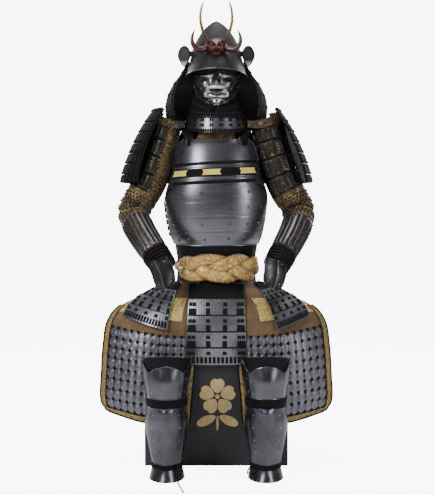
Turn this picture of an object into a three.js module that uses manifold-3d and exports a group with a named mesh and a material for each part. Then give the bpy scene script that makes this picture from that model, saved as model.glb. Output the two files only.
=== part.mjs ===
// A full samurai armour: helmet, face mask, steel cuirass, laced shoulder guards, brocade
// sleeves, tassets and thigh guards, seated on its black storage chest, with the two
// shin guards standing on the floor in front. Millimetres, Z up, front towards -Y.

import * as THREE from 'three';
import { mergeVertices } from 'three/addons/utils/BufferGeometryUtils.js';
import Module from 'manifold-3d';

const wasm = await Module();
wasm.setup();

// Driving dimensions
const SEAM = 0.4;                 // gap between pieces that meet
const CLEAR = 0.6;                // how far a carrier is grown before it is cut away
const STEEL = 2.0;                // wall of a steel or lacquered plate
const CLOTH = 2.5;                // wall of lined brocade
const LAME_STEP = 4.0;            // how far the top of a laced lame stands out

const CHEST = { halfWide: 253, halfDeep: 210, bodyTop: 428, top: 500, wall: 12 };
const POST_RADIUS = 22;
const BAR = { halfLong: 116, halfDeep: 16, bottom: 1172, top: 1205 };

// Helmet bowl: half width and half depth at each height
const BOWL = [
  { z: 1408, wide: 97, deep: 119 },
  { z: 1440, wide: 95.5, deep: 117 },
  { z: 1470, wide: 93, deep: 112 },
  { z: 1510, wide: 80, deep: 96 },
  { z: 1546, wide: 59, deep: 70 },
  { z: 1571, wide: 39, deep: 45 },
  { z: 1588, wide: 18, deep: 20 },
  { z: 1597, wide: 3, deep: 3.2 },
];

// Neck guard: half width, depth behind and how far round it reaches, in degrees
const NECK = [
  { z: 1240, wide: 179, deep: 198, reach: 124 },
  { z: 1280, wide: 181, deep: 198, reach: 122 },
  { z: 1313, wide: 175, deep: 191, reach: 120 },
  { z: 1358, wide: 154, deep: 174, reach: 114 },
  { z: 1393, wide: 128, deep: 150, reach: 106 },
  { z: 1446, wide: 97.6, deep: 119, reach: 96 },
];
const NECK_LAMES = 5;

// Face mask: half width and forward depth at each height
const MASK = [
  { z: 1280, wide: 50, deep: 92 },
  { z: 1300, wide: 62, deep: 100 },
  { z: 1325, wide: 74, deep: 106 },
  { z: 1355, wide: 83, deep: 108 },
  { z: 1395, wide: 85, deep: 102 },
];

// Torso: half width, depth in front and depth behind at each height
const TORSO = [
  { z: 620, wide: 152, front: 152, back: 122 },
  { z: 700, wide: 146, front: 138, back: 116 },
  { z: 773, wide: 155, front: 142, back: 114 },
  { z: 800, wide: 167, front: 149, back: 119 },
  { z: 855, wide: 180, front: 158, back: 125 },
  { z: 905, wide: 187, front: 163, back: 128 },
  { z: 955, wide: 190, front: 164, back: 128 },
  { z: 1005, wide: 177, front: 160, back: 124 },
  { z: 1050, wide: 161, front: 152, back: 118 },
  { z: 1100, wide: 149, front: 139, back: 110 },
  { z: 1140, wide: 137, front: 124, back: 98 },
  { z: 1168, wide: 119, front: 108, back: 84 },
  { z: 1195, wide: 108, front: 100, back: 78 },
];
const TORSO_POWER = 2.4;
const CUIRASS_BOTTOM = 773;
const WAIST_BOTTOM = 630;

// Arm, drawn on the +X side: centre line and half widths across and fore-aft
const ARM = [
  { x: 181, y: 4, z: 1248, across: 57, fore: 62 },
  { x: 192, y: 4, z: 1190, across: 60, fore: 64 },
  { x: 216, y: 4, z: 1105, across: 59, fore: 62 },
  { x: 250, y: 2, z: 1010, across: 59, fore: 60 },
  { x: 290, y: -6, z: 930, across: 59, fore: 59 },
  { x: 303, y: -30, z: 880, across: 56, fore: 57 },
  { x: 280, y: -86, z: 829, across: 51, fore: 52 },
  { x: 240, y: -149, z: 768, across: 47, fore: 46 },
  { x: 197, y: -210, z: 706, across: 41, fore: 40 },
];

// Thigh guard, drawn on the +X side: inner and outer edge of each section
const THIGH = [
  { v: 0.00, innerX: 58, innerY: -146, innerZ: 645, outerX: 138, outerY: -82, outerZ: 645, belly: 0 },
  { v: 0.16, innerX: 64, innerY: -186, innerZ: 575, outerX: 330, outerY: -92, outerZ: 568, belly: 26 },
  { v: 0.30, innerX: 68, innerY: -216, innerZ: 510, outerX: 388, outerY: -112, outerZ: 512, belly: 52 },
  { v: 0.50, innerX: 72, innerY: -219, innerZ: 423, outerX: 404, outerY: -142, outerZ: 423, belly: 62 },
  { v: 0.72, innerX: 78, innerY: -228, innerZ: 320, outerX: 410, outerY: -156, outerZ: 315, belly: 58 },
  { v: 0.88, innerX: 86, innerY: -238, innerZ: 230, outerX: 412, outerY: -166, outerZ: 238, belly: 50 },
  { v: 1.00, innerX: 92, innerY: -245, innerZ: 156, outerX: 396, outerY: -180, outerZ: 194, belly: 42 },
];

// Shin guard, drawn about its own centre: half width and how far its front stands out
const SHIN = [
  { z: -4, wide: 61, deep: 87 },
  { z: 36, wide: 52, deep: 66 },
  { z: 56, wide: 52, deep: 62 },
  { z: 110, wide: 62, deep: 70 },
  { z: 185, wide: 74, deep: 82 },
  { z: 245, wide: 68, deep: 82 },
  { z: 290, wide: 72, deep: 86 },
  { z: 335, wide: 80, deep: 92 },
  { z: 405, wide: 85, deep: 88 },
];
const SHIN_PLACE = { x: 167, y: -356 };

// Top edge of the breastplate from the middle (0) to the side (1), then of the knee's lining and plate
const BREAST_TOP = [
  { u: 0, z: 1151 },
  { u: 0.3, z: 1155 },
  { u: 0.5, z: 1166 },
  { u: 0.62, z: 1168 },
  { u: 0.75, z: 1140 },
  { u: 0.86, z: 1092 },
  { u: 1, z: 1040 },
];
const LINING_TOP = [
  { u: 0, z: 421 },
  { u: 0.4, z: 415 },
  { u: 0.6, z: 407 },
  { u: 0.8, z: 393 },
  { u: 1, z: 362 },
];
const KNEE_TOP = [
  { u: 0, z: 389 },
  { u: 0.22, z: 380 },
  { u: 0.4, z: 366 },
  { u: 0.66, z: 402 },
  { u: 0.82, z: 388 },
  { u: 1, z: 360 },
];

// Shoulder strap from front (-1) to back (1), and shoulder guard from top to bottom
const STRAP = [
  { v: -1, y: -108, z: 1136 },
  { v: -0.72, y: -92, z: 1166 },
  { v: -0.4, y: -54, z: 1197 },
  { v: 0, y: 0, z: 1210 },
  { v: 0.4, y: 44, z: 1197 },
  { v: 0.72, y: 72, z: 1166 },
  { v: 1, y: 84, z: 1136 },
];
const SODE = [
  { v: 0, x: 232, z: 1266 },
  { v: 0.22, x: 270, z: 1208 },
  { v: 0.45, x: 302, z: 1148 },
  { v: 0.66, x: 325, z: 1093 },
  { v: 0.83, x: 341, z: 1047 },
  { v: 1, x: 352, z: 1002 },
];
const SODE_LAMES = 7;

// Front tasset: how far forward it hangs on its way down
const TASSET_DROP = [
  { v: 0, y: -150 },
  { v: 0.14, y: -188 },
  { v: 0.28, y: -214 },
  { v: 0.47, y: -233 },
  { v: 0.72, y: -241 },
  { v: 1, y: -244 },
];

const COLOURS = {
  chest: { color: 0x1d1d20, metalness: 0.0, roughness: 0.7 },
  stand: { color: 0x2a2420, metalness: 0.0, roughness: 0.7 },
  steel: { color: 0x77767c, metalness: 0.8, roughness: 0.35 },
  dark: { color: 0x34322f, metalness: 0.6, roughness: 0.4 },
  lace: { color: 0x101014, metalness: 0.0, roughness: 0.8 },
  brocade: { color: 0x8a6a35, metalness: 0.0, roughness: 0.8 },
  belt: { color: 0xc79c50, metalness: 0.0, roughness: 0.6 },
  lacquer: { color: 0x4a1210, metalness: 0.1, roughness: 0.3 },
  gold: { color: 0xb89b5a, metalness: 0.7, roughness: 0.35 },
  trim: { color: 0xa58c5f, metalness: 0.0, roughness: 0.8 },
  silver: { color: 0xc6c6c6, metalness: 0.8, roughness: 0.3 },
  brown: { color: 0x5e4630, metalness: 0.0, roughness: 0.85 },
};

const vec = (x, y, z) => new THREE.Vector3(x, y, z);
const mix = (a, b, t) => a + (b - a) * t;
const clamp = (t, low = 0, high = 1) => Math.min(high, Math.max(low, t));
const rad = (degrees) => degrees * Math.PI / 180;
const bell = (d, width) => Math.exp(-(d * d) / (width * width));
const spread = (low, high, steps) => Array.from({ length: steps + 1 }, (_, k) => mix(low, high, k / steps));

// One named column of a table at a key value, on a smooth curve through its rows
function read(table, key, name, at) {
  const last = table.length - 1;
  const k = clamp(table.findIndex((row) => row[key] > at) - 1, 0, last - 1);
  const i = table[last][key] <= at ? last - 1 : k;
  const t = clamp((at - table[i][key]) / (table[i + 1][key] - table[i][key]));
  const slope = (j) => {
    const a = table[Math.max(j - 1, 0)];
    const b = table[Math.min(j + 1, last)];
    return (b[name] - a[name]) / (b[key] - a[key]);
  };
  const step = table[i + 1][key] - table[i][key];
  const h00 = 2 * t ** 3 - 3 * t ** 2 + 1;
  const h10 = t ** 3 - 2 * t ** 2 + t;
  const h01 = -2 * t ** 3 + 3 * t ** 2;
  const h11 = t ** 3 - t ** 2;
  return h00 * table[i][name] + h10 * step * slope(i) + h01 * table[i + 1][name] + h11 * step * slope(i + 1);
}

// The volume a solid encloses, negative when its faces look inwards
function volume(solid) {
  let sum = 0;
  const p = (index) => vec(...solid.points.slice(3 * index, 3 * index + 3));
  for (let f = 0; f < solid.faces.length; f += 3) {
    sum += p(solid.faces[f]).dot(p(solid.faces[f + 1]).cross(p(solid.faces[f + 2]))) / 6;
  }
  return sum;
}

function facingOut(solid) {
  if (volume(solid) < 0) {
    for (let f = 0; f < solid.faces.length; f += 3) {
      [solid.faces[f + 1], solid.faces[f + 2]] = [solid.faces[f + 2], solid.faces[f + 1]];
    }
  }
  return solid;
}

// A wall between two offsets of a smooth surface. pointAt(u, v) gives the surface, inside(p)
// a point on its hollow side. The offsets are numbers or functions of u, v and the point.
function wall({ us, vs, pointAt, inside, low = -STEEL, high = 0, around = false }) {
  const points = [];
  const faces = [];
  const reach = 0.002 * Math.abs(us[us.length - 1] - us[0]);
  const rise = 0.002 * Math.abs(vs[vs.length - 1] - vs[0]);
  const rows = vs.length;
  const cols = us.length;
  const amount = (offset, u, v, p) => (typeof offset === 'function' ? offset(u, v, p) : offset);
  for (const side of ['high', 'low']) {
    for (const v of vs) {
      for (const u of us) {
        const p = pointAt(u, v);
        const along = pointAt(u + reach, v).sub(pointAt(u - reach, v));
        const down = pointAt(u, v + rise).sub(pointAt(u, v - rise));
        const out = along.cross(down).normalize();
        if (out.dot(p.clone().sub(inside(p))) < 0) out.negate();
        const move = amount(side === 'high' ? high : low, u, v, p);
        points.push(p.x + out.x * move, p.y + out.y * move, p.z + out.z * move);
      }
    }
  }
  const at = (side, j, i) => side * rows * cols + j * cols + (i % cols);
  const quad = (a, b, c, d) => faces.push(a, b, c, a, c, d);
  const spans = around ? cols : cols - 1;
  for (let j = 0; j < rows - 1; j += 1) {
    for (let i = 0; i < spans; i += 1) {
      quad(at(0, j, i), at(0, j + 1, i), at(0, j + 1, i + 1), at(0, j, i + 1));
      const turned = [at(1, j, i), at(1, j + 1, i), at(1, j + 1, i + 1), at(1, j, i + 1)];
      faces.push(turned[0], turned[2], turned[1], turned[0], turned[3], turned[2]);
    }
  }
  for (let i = 0; i < spans; i += 1) {
    quad(at(0, 0, i), at(0, 0, i + 1), at(1, 0, i + 1), at(1, 0, i));
    quad(at(0, rows - 1, i), at(1, rows - 1, i), at(1, rows - 1, i + 1), at(0, rows - 1, i + 1));
  }
  if (!around) {
    for (let j = 0; j < rows - 1; j += 1) {
      quad(at(0, j, 0), at(1, j, 0), at(1, j + 1, 0), at(0, j + 1, 0));
      quad(at(0, j, cols - 1), at(0, j + 1, cols - 1), at(1, j + 1, cols - 1), at(1, j, cols - 1));
    }
  }
  return facingOut({ points, faces });
}

// A solid through a stack of closed rings that hold the same number of points
function stack(rings) {
  const count = rings[0].length;
  const points = rings.flatMap((ring) => ring.flatMap((p) => [p.x, p.y, p.z]));
  const faces = [];
  for (let j = 0; j < rings.length - 1; j += 1) {
    for (let i = 0; i < count; i += 1) {
      const a = j * count + i;
      const b = j * count + (i + 1) % count;
      faces.push(a, b, b + count, a, b + count, a + count);
    }
  }
  for (const [ring, turned] of [[0, true], [rings.length - 1, false]]) {
    const middle = rings[ring].reduce((sum, p) => sum.add(p), vec(0, 0, 0)).divideScalar(count);
    const centre = points.length / 3;
    points.push(middle.x, middle.y, middle.z);
    for (let i = 0; i < count; i += 1) {
      const a = ring * count + i;
      const b = ring * count + (i + 1) % count;
      faces.push(...(turned ? [centre, b, a] : [centre, a, b]));
    }
  }
  return facingOut({ points, faces });
}

// A block with its upright edges and its top and bottom edges broken by a small chamfer
function block(x0, x1, y0, y1, z0, z1, chamfer, foot = chamfer) {
  const ring = (z, inset) => {
    const [a, b, c, d] = [x0 + inset, x1 - inset, y0 + inset, y1 - inset];
    const k = chamfer;
    return [vec(a + k, c, z), vec(b - k, c, z), vec(b, c + k, z), vec(b, d - k, z),
      vec(b - k, d, z), vec(a + k, d, z), vec(a, d - k, z), vec(a, c + k, z)];
  };
  return stack([ring(z0, foot), ring(z0 + foot + 0.01, 0), ring(z1 - chamfer, 0), ring(z1, chamfer)]);
}

// A tapering rod along a line of points, with an oval section given for each point
function rod(line, sides) {
  const rings = line.map((p, k) => {
    const before = line[Math.max(k - 1, 0)];
    const after = line[Math.min(k + 1, line.length - 1)];
    const along = vec(after.x - before.x, after.y - before.y, after.z - before.z).normalize();
    const fore = vec(0, -1, 0).addScaledVector(along, along.y).normalize();
    const across = along.clone().cross(fore);
    return Array.from({ length: sides }, (_, i) => {
      const a = 2 * Math.PI * i / sides;
      return vec(p.x, p.y, p.z).addScaledVector(across, p.across * Math.cos(a))
        .addScaledVector(fore, p.fore * Math.sin(a));
    });
  });
  return stack(rings);
}

function toManifold(solid) {
  return new wasm.Manifold(new wasm.Mesh({
    numProp: 3,
    vertProperties: Float32Array.from(solid.points),
    triVerts: Uint32Array.from(solid.faces),
  }));
}

// The same solid with every face moved out by about the given distance
function grown(solid, distance) {
  const normals = solid.points.map(() => 0);
  const p = (index) => vec(...solid.points.slice(3 * index, 3 * index + 3));
  for (let f = 0; f < solid.faces.length; f += 3) {
    const corners = [solid.faces[f], solid.faces[f + 1], solid.faces[f + 2]];
    const [a, b, c] = corners.map(p);
    const flat = b.clone().sub(a).cross(c.clone().sub(a)).normalize();
    const ends = [[a, b, c], [b, c, a], [c, a, b]];
    corners.forEach((index, k) => {
      const [here, next, prev] = ends[k];
      const angle = next.clone().sub(here).angleTo(prev.clone().sub(here));
      normals[3 * index] += flat.x * angle;
      normals[3 * index + 1] += flat.y * angle;
      normals[3 * index + 2] += flat.z * angle;
    });
  }
  const points = solid.points.slice();
  for (let i = 0; i < points.length; i += 3) {
    const length = Math.hypot(normals[i], normals[i + 1], normals[i + 2]) || 1;
    for (let k = 0; k < 3; k += 1) points[i + k] += normals[i + k] / length * distance;
  }
  return { points, faces: solid.faces };
}

// The largest connected part of a solid
function largest({ points, faces }) {
  const parent = Array.from({ length: points.length / 3 }, (_, i) => i);
  const find = (i) => {
    let root = i;
    while (parent[root] !== root) root = parent[root];
    while (parent[i] !== root) [parent[i], i] = [root, parent[i]];
    return root;
  };
  for (let f = 0; f < faces.length; f += 3) {
    parent[find(faces[f])] = find(faces[f + 1]);
    parent[find(faces[f + 1])] = find(faces[f + 2]);
  }
  const groups = new Map();
  for (let f = 0; f < faces.length; f += 3) {
    const root = find(faces[f]);
    if (!groups.has(root)) groups.set(root, []);
    groups.get(root).push(faces[f], faces[f + 1], faces[f + 2]);
  }
  const parts = [...groups.values()].map((own) => ({ points, faces: own }));
  return parts.reduce((best, part) => (volume(part) > volume(best) ? part : best));
}

// A piece trimmed so that it lies just clear of the pieces that carry it
function fitted(piece, ...carriers) {
  if (carriers.length === 0) return piece;
  let body = toManifold(piece);
  for (const carrier of carriers) body = body.subtract(toManifold(grown(carrier, CLEAR)));
  const mesh = body.getMesh();
  return largest({ points: Array.from(mesh.vertProperties), faces: Array.from(mesh.triVerts) });
}

function joined(...pieces) {
  const mesh = pieces.map(toManifold).reduce((sum, piece) => sum.add(piece)).getMesh();
  return { points: Array.from(mesh.vertProperties), faces: Array.from(mesh.triVerts) };
}

function without(piece, hole) {
  const mesh = toManifold(piece).subtract(toManifold(hole)).getMesh();
  return largest({ points: Array.from(mesh.vertProperties), faces: Array.from(mesh.triVerts) });
}

// The same solid on the other side of the armour
function mirrored(solid) {
  const points = solid.points.map((value, i) => (i % 3 === 0 ? -value : value));
  return facingOut({ points, faces: solid.faces.slice() });
}

const solids = {};
const looks = {};

function add(name, solid, look) {
  solids[name] = solid;
  looks[name] = look;
  return solid;
}

// Adds a piece of the +X side as name_r and its mirror image as name_l, each trimmed
// to the pieces that carry it on its own side
function addPair(name, solid, look, carriers = () => []) {
  add(`${name}_r`, fitted(solid, ...carriers('r')), look);
  add(`${name}_l`, fitted(mirrored(solid), ...carriers('l')), look);
}

// The first of a piece's offsets, in small steps, at which it is clear of its carriers
function lifted(build, ...carriers) {
  for (let lift = 0.5; lift < 8; lift += 0.2) {
    const piece = toManifold(build(lift));
    const met = carriers.some((carrier) => piece.intersect(toManifold(grown(carrier, 0.42))).getMesh().triVerts.length > 0);
    if (!met) return build(lift);
  }
  throw new Error('no clear offset');
}

// A saw-tooth that is high at the top edge of each lame and nil at its lower edge
const lameStep = (v, lames, step = LAME_STEP) => step * (1 - ((v * lames) % 1 + 1) % 1);
const lameRows = (lames) => Array.from({ length: lames }, (_, k) => [(k + 0.02) / lames, (k + 0.98) / lames])
  .flat().map((v) => clamp(v, 0.001, 0.999));

// Storage chest: a hollow body and a cap-shaped lid
const chestBody = block(-CHEST.halfWide, CHEST.halfWide, -CHEST.halfDeep, CHEST.halfDeep, 0, CHEST.bodyTop, 3, 0);
const inner = CHEST.wall;
add('chest_box', without(chestBody, block(-CHEST.halfWide + inner, CHEST.halfWide - inner,
  -CHEST.halfDeep + inner, CHEST.halfDeep - inner, inner, CHEST.bodyTop + 40, 2)), 'chest');
const lidBody = block(-CHEST.halfWide, CHEST.halfWide, -CHEST.halfDeep, CHEST.halfDeep,
  CHEST.bodyTop + SEAM, CHEST.top, 3);
add('chest_lid', without(lidBody, block(-CHEST.halfWide + inner, CHEST.halfWide - inner,
  -CHEST.halfDeep + inner, CHEST.halfDeep - inner, CHEST.bodyTop - 30, CHEST.top - 14, 2)), 'chest');

// Stand: a post on the lid, a bar under the shoulder straps and a block for helmet and mask
const circle = (radius, z, y = 0, sides = 12) => Array.from({ length: sides }, (_, i) => {
  const a = 2 * Math.PI * i / sides;
  return vec(radius * Math.cos(a), y + radius * Math.sin(a), z);
});
const post = stack([circle(70, CHEST.top + SEAM), circle(70, CHEST.top + 14), circle(POST_RADIUS, CHEST.top + 24),
  circle(POST_RADIUS, 1240)]);
const bar = rod(spread(-BAR.halfLong, BAR.halfLong, 2).map((x) => ({
  x,
  y: 0,
  z: (BAR.bottom + BAR.top) / 2,
  across: (BAR.top - BAR.bottom) / 2,
  fore: BAR.halfDeep,
})), 8);
const HEAD = [
  { z: 1225, wide: 30, deep: 40 },
  { z: 1258, wide: 42, deep: 66 },
  { z: 1300, wide: 58, deep: 92 },
  { z: 1345, wide: 76, deep: 107 },
  { z: 1400, wide: 82, deep: 107 },
  { z: 1440, wide: 84, deep: 104 },
  { z: 1480, wide: 79, deep: 95 },
  { z: 1520, wide: 66, deep: 78 },
  { z: 1552, wide: 51.5, deep: 60 },
  { z: 1572, wide: 26, deep: 30 },
];
const headRing = (row, sides = 14) => Array.from({ length: sides }, (_, i) => {
  const a = 2 * Math.PI * i / sides;
  return vec(row.wide * Math.sin(a), -row.deep * Math.cos(a) + 4, row.z);
});

// Helmet bowl: a pointed steel dome, open below
const bowlPoint = (u, v, extra = 0) => {
  const z = mix(1408, 1596.5, v);
  return vec((read(BOWL, 'z', 'wide', z) + extra) * Math.sin(u), -(read(BOWL, 'z', 'deep', z) + extra) * Math.cos(u), z);
};
const onAxis = (p) => vec(0, 0, p.z - 20);
const around = (steps) => spread(0, 2 * Math.PI, steps).slice(0, steps);
const bowlRows = [0, 0.18, 0.36, 0.54, 0.7, 0.84, 0.94];
const bowlOuter = stack([...bowlRows, 1].map((v) => around(20).map((u) => bowlPoint(u, v))));
const bowlInner = stack([-0.05, ...bowlRows.slice(0, 6)].map((v) => around(20).map((u) => {
  const p = bowlPoint(u, Math.max(v, 0), -STEEL - 1.5 * v);
  return vec(p.x, p.y, p.z - (v < 0 ? 6 : 3 * v));
})));
add('stand', joined(post, bar, stack(HEAD.map((row) => headRing(row)))), 'stand');
add('helmet_bowl', fitted(without(bowlOuter, bowlInner), solids.stand), 'dark');

// Visor: a peak that springs from the front of the bowl
const visorPoint = (u, v) => {
  const a = rad(76) * u;
  const out = Math.sin(v * Math.PI / 2);
  return vec(mix(96, 115, v) * Math.sin(a), -mix(115, 172, out * 0.55 + v * 0.45) * Math.cos(a) - 1.5 * bell(u, 0.1),
    mix(1473 - 16 * u * u, 1400 - 13 * u * u, v));
};
add('helmet_visor', fitted(wall({
  us: spread(-1, 1, 10),
  vs: [0, 0.4, 0.88, 1],
  pointAt: visorPoint,
  inside: (p) => vec(0, 0, p.z - 60),
  low: -STEEL,
  high: (u, v) => (v > 0.8 ? 1.8 : 0),
}), solids.helmet_bowl), 'dark');

// Neck guard: five laced lames in one stepped wall, open at the face
const neckPoint = (u, v) => {
  const z = mix(1446, 1240, v);
  const a = rad(read(NECK, 'z', 'reach', z)) * u;
  return vec(read(NECK, 'z', 'wide', z) * Math.sin(a), read(NECK, 'z', 'deep', z) * Math.cos(a), z);
};
add('neck_guard', fitted(wall({
  us: spread(-1, 1, 16),
  vs: lameRows(NECK_LAMES),
  pointAt: neckPoint,
  inside: onAxis,
  high: (u, v) => lameStep(v, NECK_LAMES, 5),
}), solids.helmet_bowl, solids.helmet_visor), 'lace');

// Turned-back ears: a rimmed oval plate at each side of the visor
const earPoint = (u, v) => {
  const [x, z] = [25 * v * Math.cos(u), 38 * v * Math.sin(u)];
  const taper = 1 - 0.22 * clamp(-z / 38);
  return vec(117 + x * taper * Math.cos(rad(22)), -27 + x * taper * Math.sin(rad(22)), 1464 + z);
};
const earRings = [[0.97, 0], [1, 2.5], [0.98, 6], [0.82, 6], [0.78, 4]].map(([v, lift]) => around(16).map((u) => {
  const p = earPoint(u, v);
  return vec(p.x + lift * Math.sin(rad(22)), p.y - lift * Math.cos(rad(22)), p.z);
}));
const earTab = block(78, 106, -34, -30, 1462, 1482, 0.5);
const earBody = joined(stack(earRings), earTab);
addPair('helmet_ear', earBody, 'dark', () => [solids.helmet_bowl, solids.helmet_visor, solids.neck_guard]);

// Crest: a horned demon face in lacquer
const CREST = { z: 1480, halfHigh: 37, halfWide: 38, back: -100, front: -150 };
const crestPoint = (u, v) => {
  const narrow = Math.sin(u) < 0 ? 1 + 0.4 * Math.sin(u) : 1;
  const [x, z] = [CREST.halfWide * v * Math.cos(u) * narrow, CREST.halfHigh * v * Math.sin(u)];
  const side = Math.abs(x);
  const relief = 10 * bell(side - 16, 9) * bell(z - 20, 8)
    + 20 * bell(x, 11) * bell(z + 2, 16)
    + 6 * bell(side - 8, 5) * bell(z + 6, 6)
    + 7 * bell(side - 24, 9) * bell(z + 6, 9)
    - 7 * bell(side - 16, 6) * bell(z - 8, 5)
    - 6 * bell(x, 14) * bell(z + 20, 3.5)
    + 8 * bell(x, 12) * bell(z + 31, 7);
  return vec(x, CREST.front + 34 * v ** 3 - relief * (1 - v ** 4), CREST.z + z);
};
const crestBack = around(16).map((u) => {
  const p = crestPoint(u, 1);
  return vec(p.x * 0.9, CREST.back, p.z - 8);
});
add('crest_mask', fitted(stack([crestBack, ...[1, 0.84, 0.66, 0.48, 0.3, 0.13].map((v) => around(16)
  .map((u) => crestPoint(u, v)))]), solids.helmet_bowl, solids.helmet_visor), 'lacquer');
const HORN = [
  { x: 30, y: -124, z: 1482, across: 9.5, fore: 9 },
  { x: 48, y: -131, z: 1473, across: 10.5, fore: 9.5 },
  { x: 68, y: -138, z: 1474, across: 10, fore: 9 },
  { x: 82, y: -142, z: 1488, across: 8.5, fore: 8 },
  { x: 86, y: -143, z: 1508, across: 6.5, fore: 6.5 },
  { x: 82, y: -142, z: 1527, across: 4, fore: 4 },
  { x: 75, y: -140, z: 1542, across: 1.2, fore: 1.2 },
];
addPair('crest_horn', rod(HORN, 6), 'lacquer', () => [solids.crest_mask, solids.helmet_visor, solids.helmet_bowl]);
const BLADE = [
  { x: 29, y: -128, z: 1492, across: 4, fore: 4 },
  { x: 38, y: -136, z: 1514, across: 3.8, fore: 3.6 },
  { x: 49, y: -142, z: 1540, across: 3.6, fore: 3.4 },
  { x: 56, y: -147, z: 1574, across: 3.2, fore: 3 },
  { x: 54, y: -151, z: 1608, across: 2.4, fore: 2.3 },
  { x: 45, y: -154, z: 1636, across: 0.9, fore: 0.9 },
];
addPair('crest_blade', rod(BLADE, 6), 'gold', (tag) => [solids.crest_mask, solids[`crest_horn_${tag}`], solids.helmet_bowl]);

// Face mask: brow to chin, with nose, cheeks, an open-looking mouth and a rim
const maskPoint = (u, v) => {
  const low = 1280 + 62 * u * u;
  const high = 1384 + 8 * bell(u, 0.16) + 10 * u * u;
  const z = mix(high, low, v);
  const a = rad(86) * u;
  return vec(read(MASK, 'z', 'wide', z) * Math.sin(a), -read(MASK, 'z', 'deep', z) * Math.cos(a) - 4, z);
};
const maskRelief = (u, v, p) => {
  const side = Math.abs(p.x);
  return 30 * bell(side, 9) * bell(p.z - 1358, 17)
    + 9 * bell(side - 12, 6) * bell(p.z - 1352, 7)
    + 13 * bell(side, 7) * bell(p.z - 1386, 16)
    + 8 * bell(side - 42, 17) * bell(p.z - 1357, 13)
    + 6 * bell(side / 1.6, 18) * bell(p.z - 1338, 8)
    - 4 * bell(side / 1.6, 16) * bell(p.z - 1318, 5)
    + 8 * bell(side / 1.3, 18) * bell(p.z - 1306, 7)
    + 9 * bell(side, 18) * bell(p.z - 1288, 8)
    + (v > 0.93 || v < 0.06 || Math.abs(u) > 0.94 ? 2 : 0);
};
const maskColumns = [-1, -0.95, -0.74, -0.54, -0.38, -0.25, -0.14, -0.07, 0, 0.07, 0.14, 0.25, 0.38, 0.54, 0.74, 0.95, 1];
add('face_mask', fitted(wall({
  us: maskColumns,
  vs: [0, 0.05, 0.18, 0.32, 0.45, 0.56, 0.65, 0.76, 0.94, 1],
  pointAt: maskPoint,
  inside: onAxis,
  low: -3,
  high: maskRelief,
}), solids.stand, solids.helmet_visor, solids.neck_guard), 'dark');
add('mask_lip', fitted(wall({
  us: spread(-0.36, 0.36, 6),
  vs: [0.4, 0.46, 0.56],
  pointAt: maskPoint,
  inside: onAxis,
  low: (u, v, p) => maskRelief(u, v, p) - 3,
  high: (u, v, p) => maskRelief(u, v, p) + (v > 0.42 && v < 0.5 ? 5 : 1.6),
}), solids.face_mask), 'silver');

// Torso surface: angle 0 faces front, a quarter turn faces +X
const torsoPoint = (a, z, extra = 0) => {
  const power = 2 / TORSO_POWER;
  const [s, c] = [Math.sin(a), Math.cos(a)];
  const deep = read(TORSO, 'z', c > 0 ? 'front' : 'back', z) + extra;
  return vec((read(TORSO, 'z', 'wide', z) + extra) * Math.sign(s) * Math.abs(s) ** power,
    -deep * Math.sign(c) * Math.abs(c) ** power, z);
};
const torsoDepth = (x, z, side) => {
  const ratio = clamp(Math.abs(x) / read(TORSO, 'z', 'wide', z), 0, 0.98);
  return read(TORSO, 'z', side, z) * (1 - ratio ** TORSO_POWER) ** (1 / TORSO_POWER);
};
const breastTop = (u) => read(BREAST_TOP, 'u', 'z', Math.abs(u)) + 5 * u;
const quarter = Math.PI / 2;

// Cuirass: breastplate and backplate, parted at the sides
add('cuirass_front', wall({
  us: spread(-1, 1, 16),
  vs: spread(0, 1, 8),
  pointAt: (u, v) => torsoPoint(u * quarter, mix(breastTop(u), CUIRASS_BOTTOM + 8 * u * u, v)).add(vec(0, -0.3, 0)),
  inside: onAxis,
}), 'steel');
add('cuirass_back', wall({
  us: spread(-1, 1, 8),
  vs: spread(0, 1, 4),
  pointAt: (u, v) => torsoPoint(2 * quarter + u * quarter, mix(breastTop(Math.abs(u)), CUIRASS_BOTTOM + 8 * u * u, v))
    .add(vec(0, 0.3, 0)),
  inside: onAxis,
}), 'steel');

// Laced bands across the chest, two thin and one broad, a little lower on the left
const CHEST_BANDS = [
  { name: 'chest_band_top', z: 1071, half: 5, from: -70, to: 64, stands: 1.6 },
  { name: 'chest_band_main', z: 1038, half: 15, from: -66, to: 59, stands: 3 },
  { name: 'chest_band_low', z: 1003, half: 6, from: -58, to: 51, stands: 1.6 },
];
for (const band of CHEST_BANDS) {
  const columns = spread(-6, 6, 12).map((k) => k * 11.25).filter((a) => a > band.from + 4 && a < band.to - 4);
  add(band.name, lifted((lift) => wall({
    us: [band.from, ...columns, band.to].map(rad),
    vs: [-1, 1],
    pointAt: (a, v) => torsoPoint(a, band.z - band.half * v + 9 * Math.sin(a)).add(vec(0, -0.3, 0)),
    inside: onAxis,
    low: lift,
    high: lift + band.stands,
  }), solids.cuirass_front), 'lace');
}

// Padded shoulder straps over the bar, from breastplate to backplate
const strapPoint = (u, v) => {
  const z = read(STRAP, 'v', 'z', v);
  const x = mix(64 + 30 * clamp((-v - 0.45) / 0.4), 110 + 22 * (1 - v * v), u);
  const near = clamp((Math.abs(v) - 0.45) / 0.4);
  const onBody = Math.sign(v) * (torsoDepth(x, z, v < 0 ? 'front' : 'back') + 4.5);
  return vec(x, mix(read(STRAP, 'v', 'y', v), onBody, near * near * (3 - 2 * near)), z);
};
addPair('shoulder_strap', wall({
  us: [0, 0.34, 0.67, 1],
  vs: spread(-1, 1, 8),
  pointAt: strapPoint,
  inside: () => vec(98, 0, 1120),
  low: -5.5,
}), 'lace', () => [solids.cuirass_front, solids.cuirass_back, solids.stand]);

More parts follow.
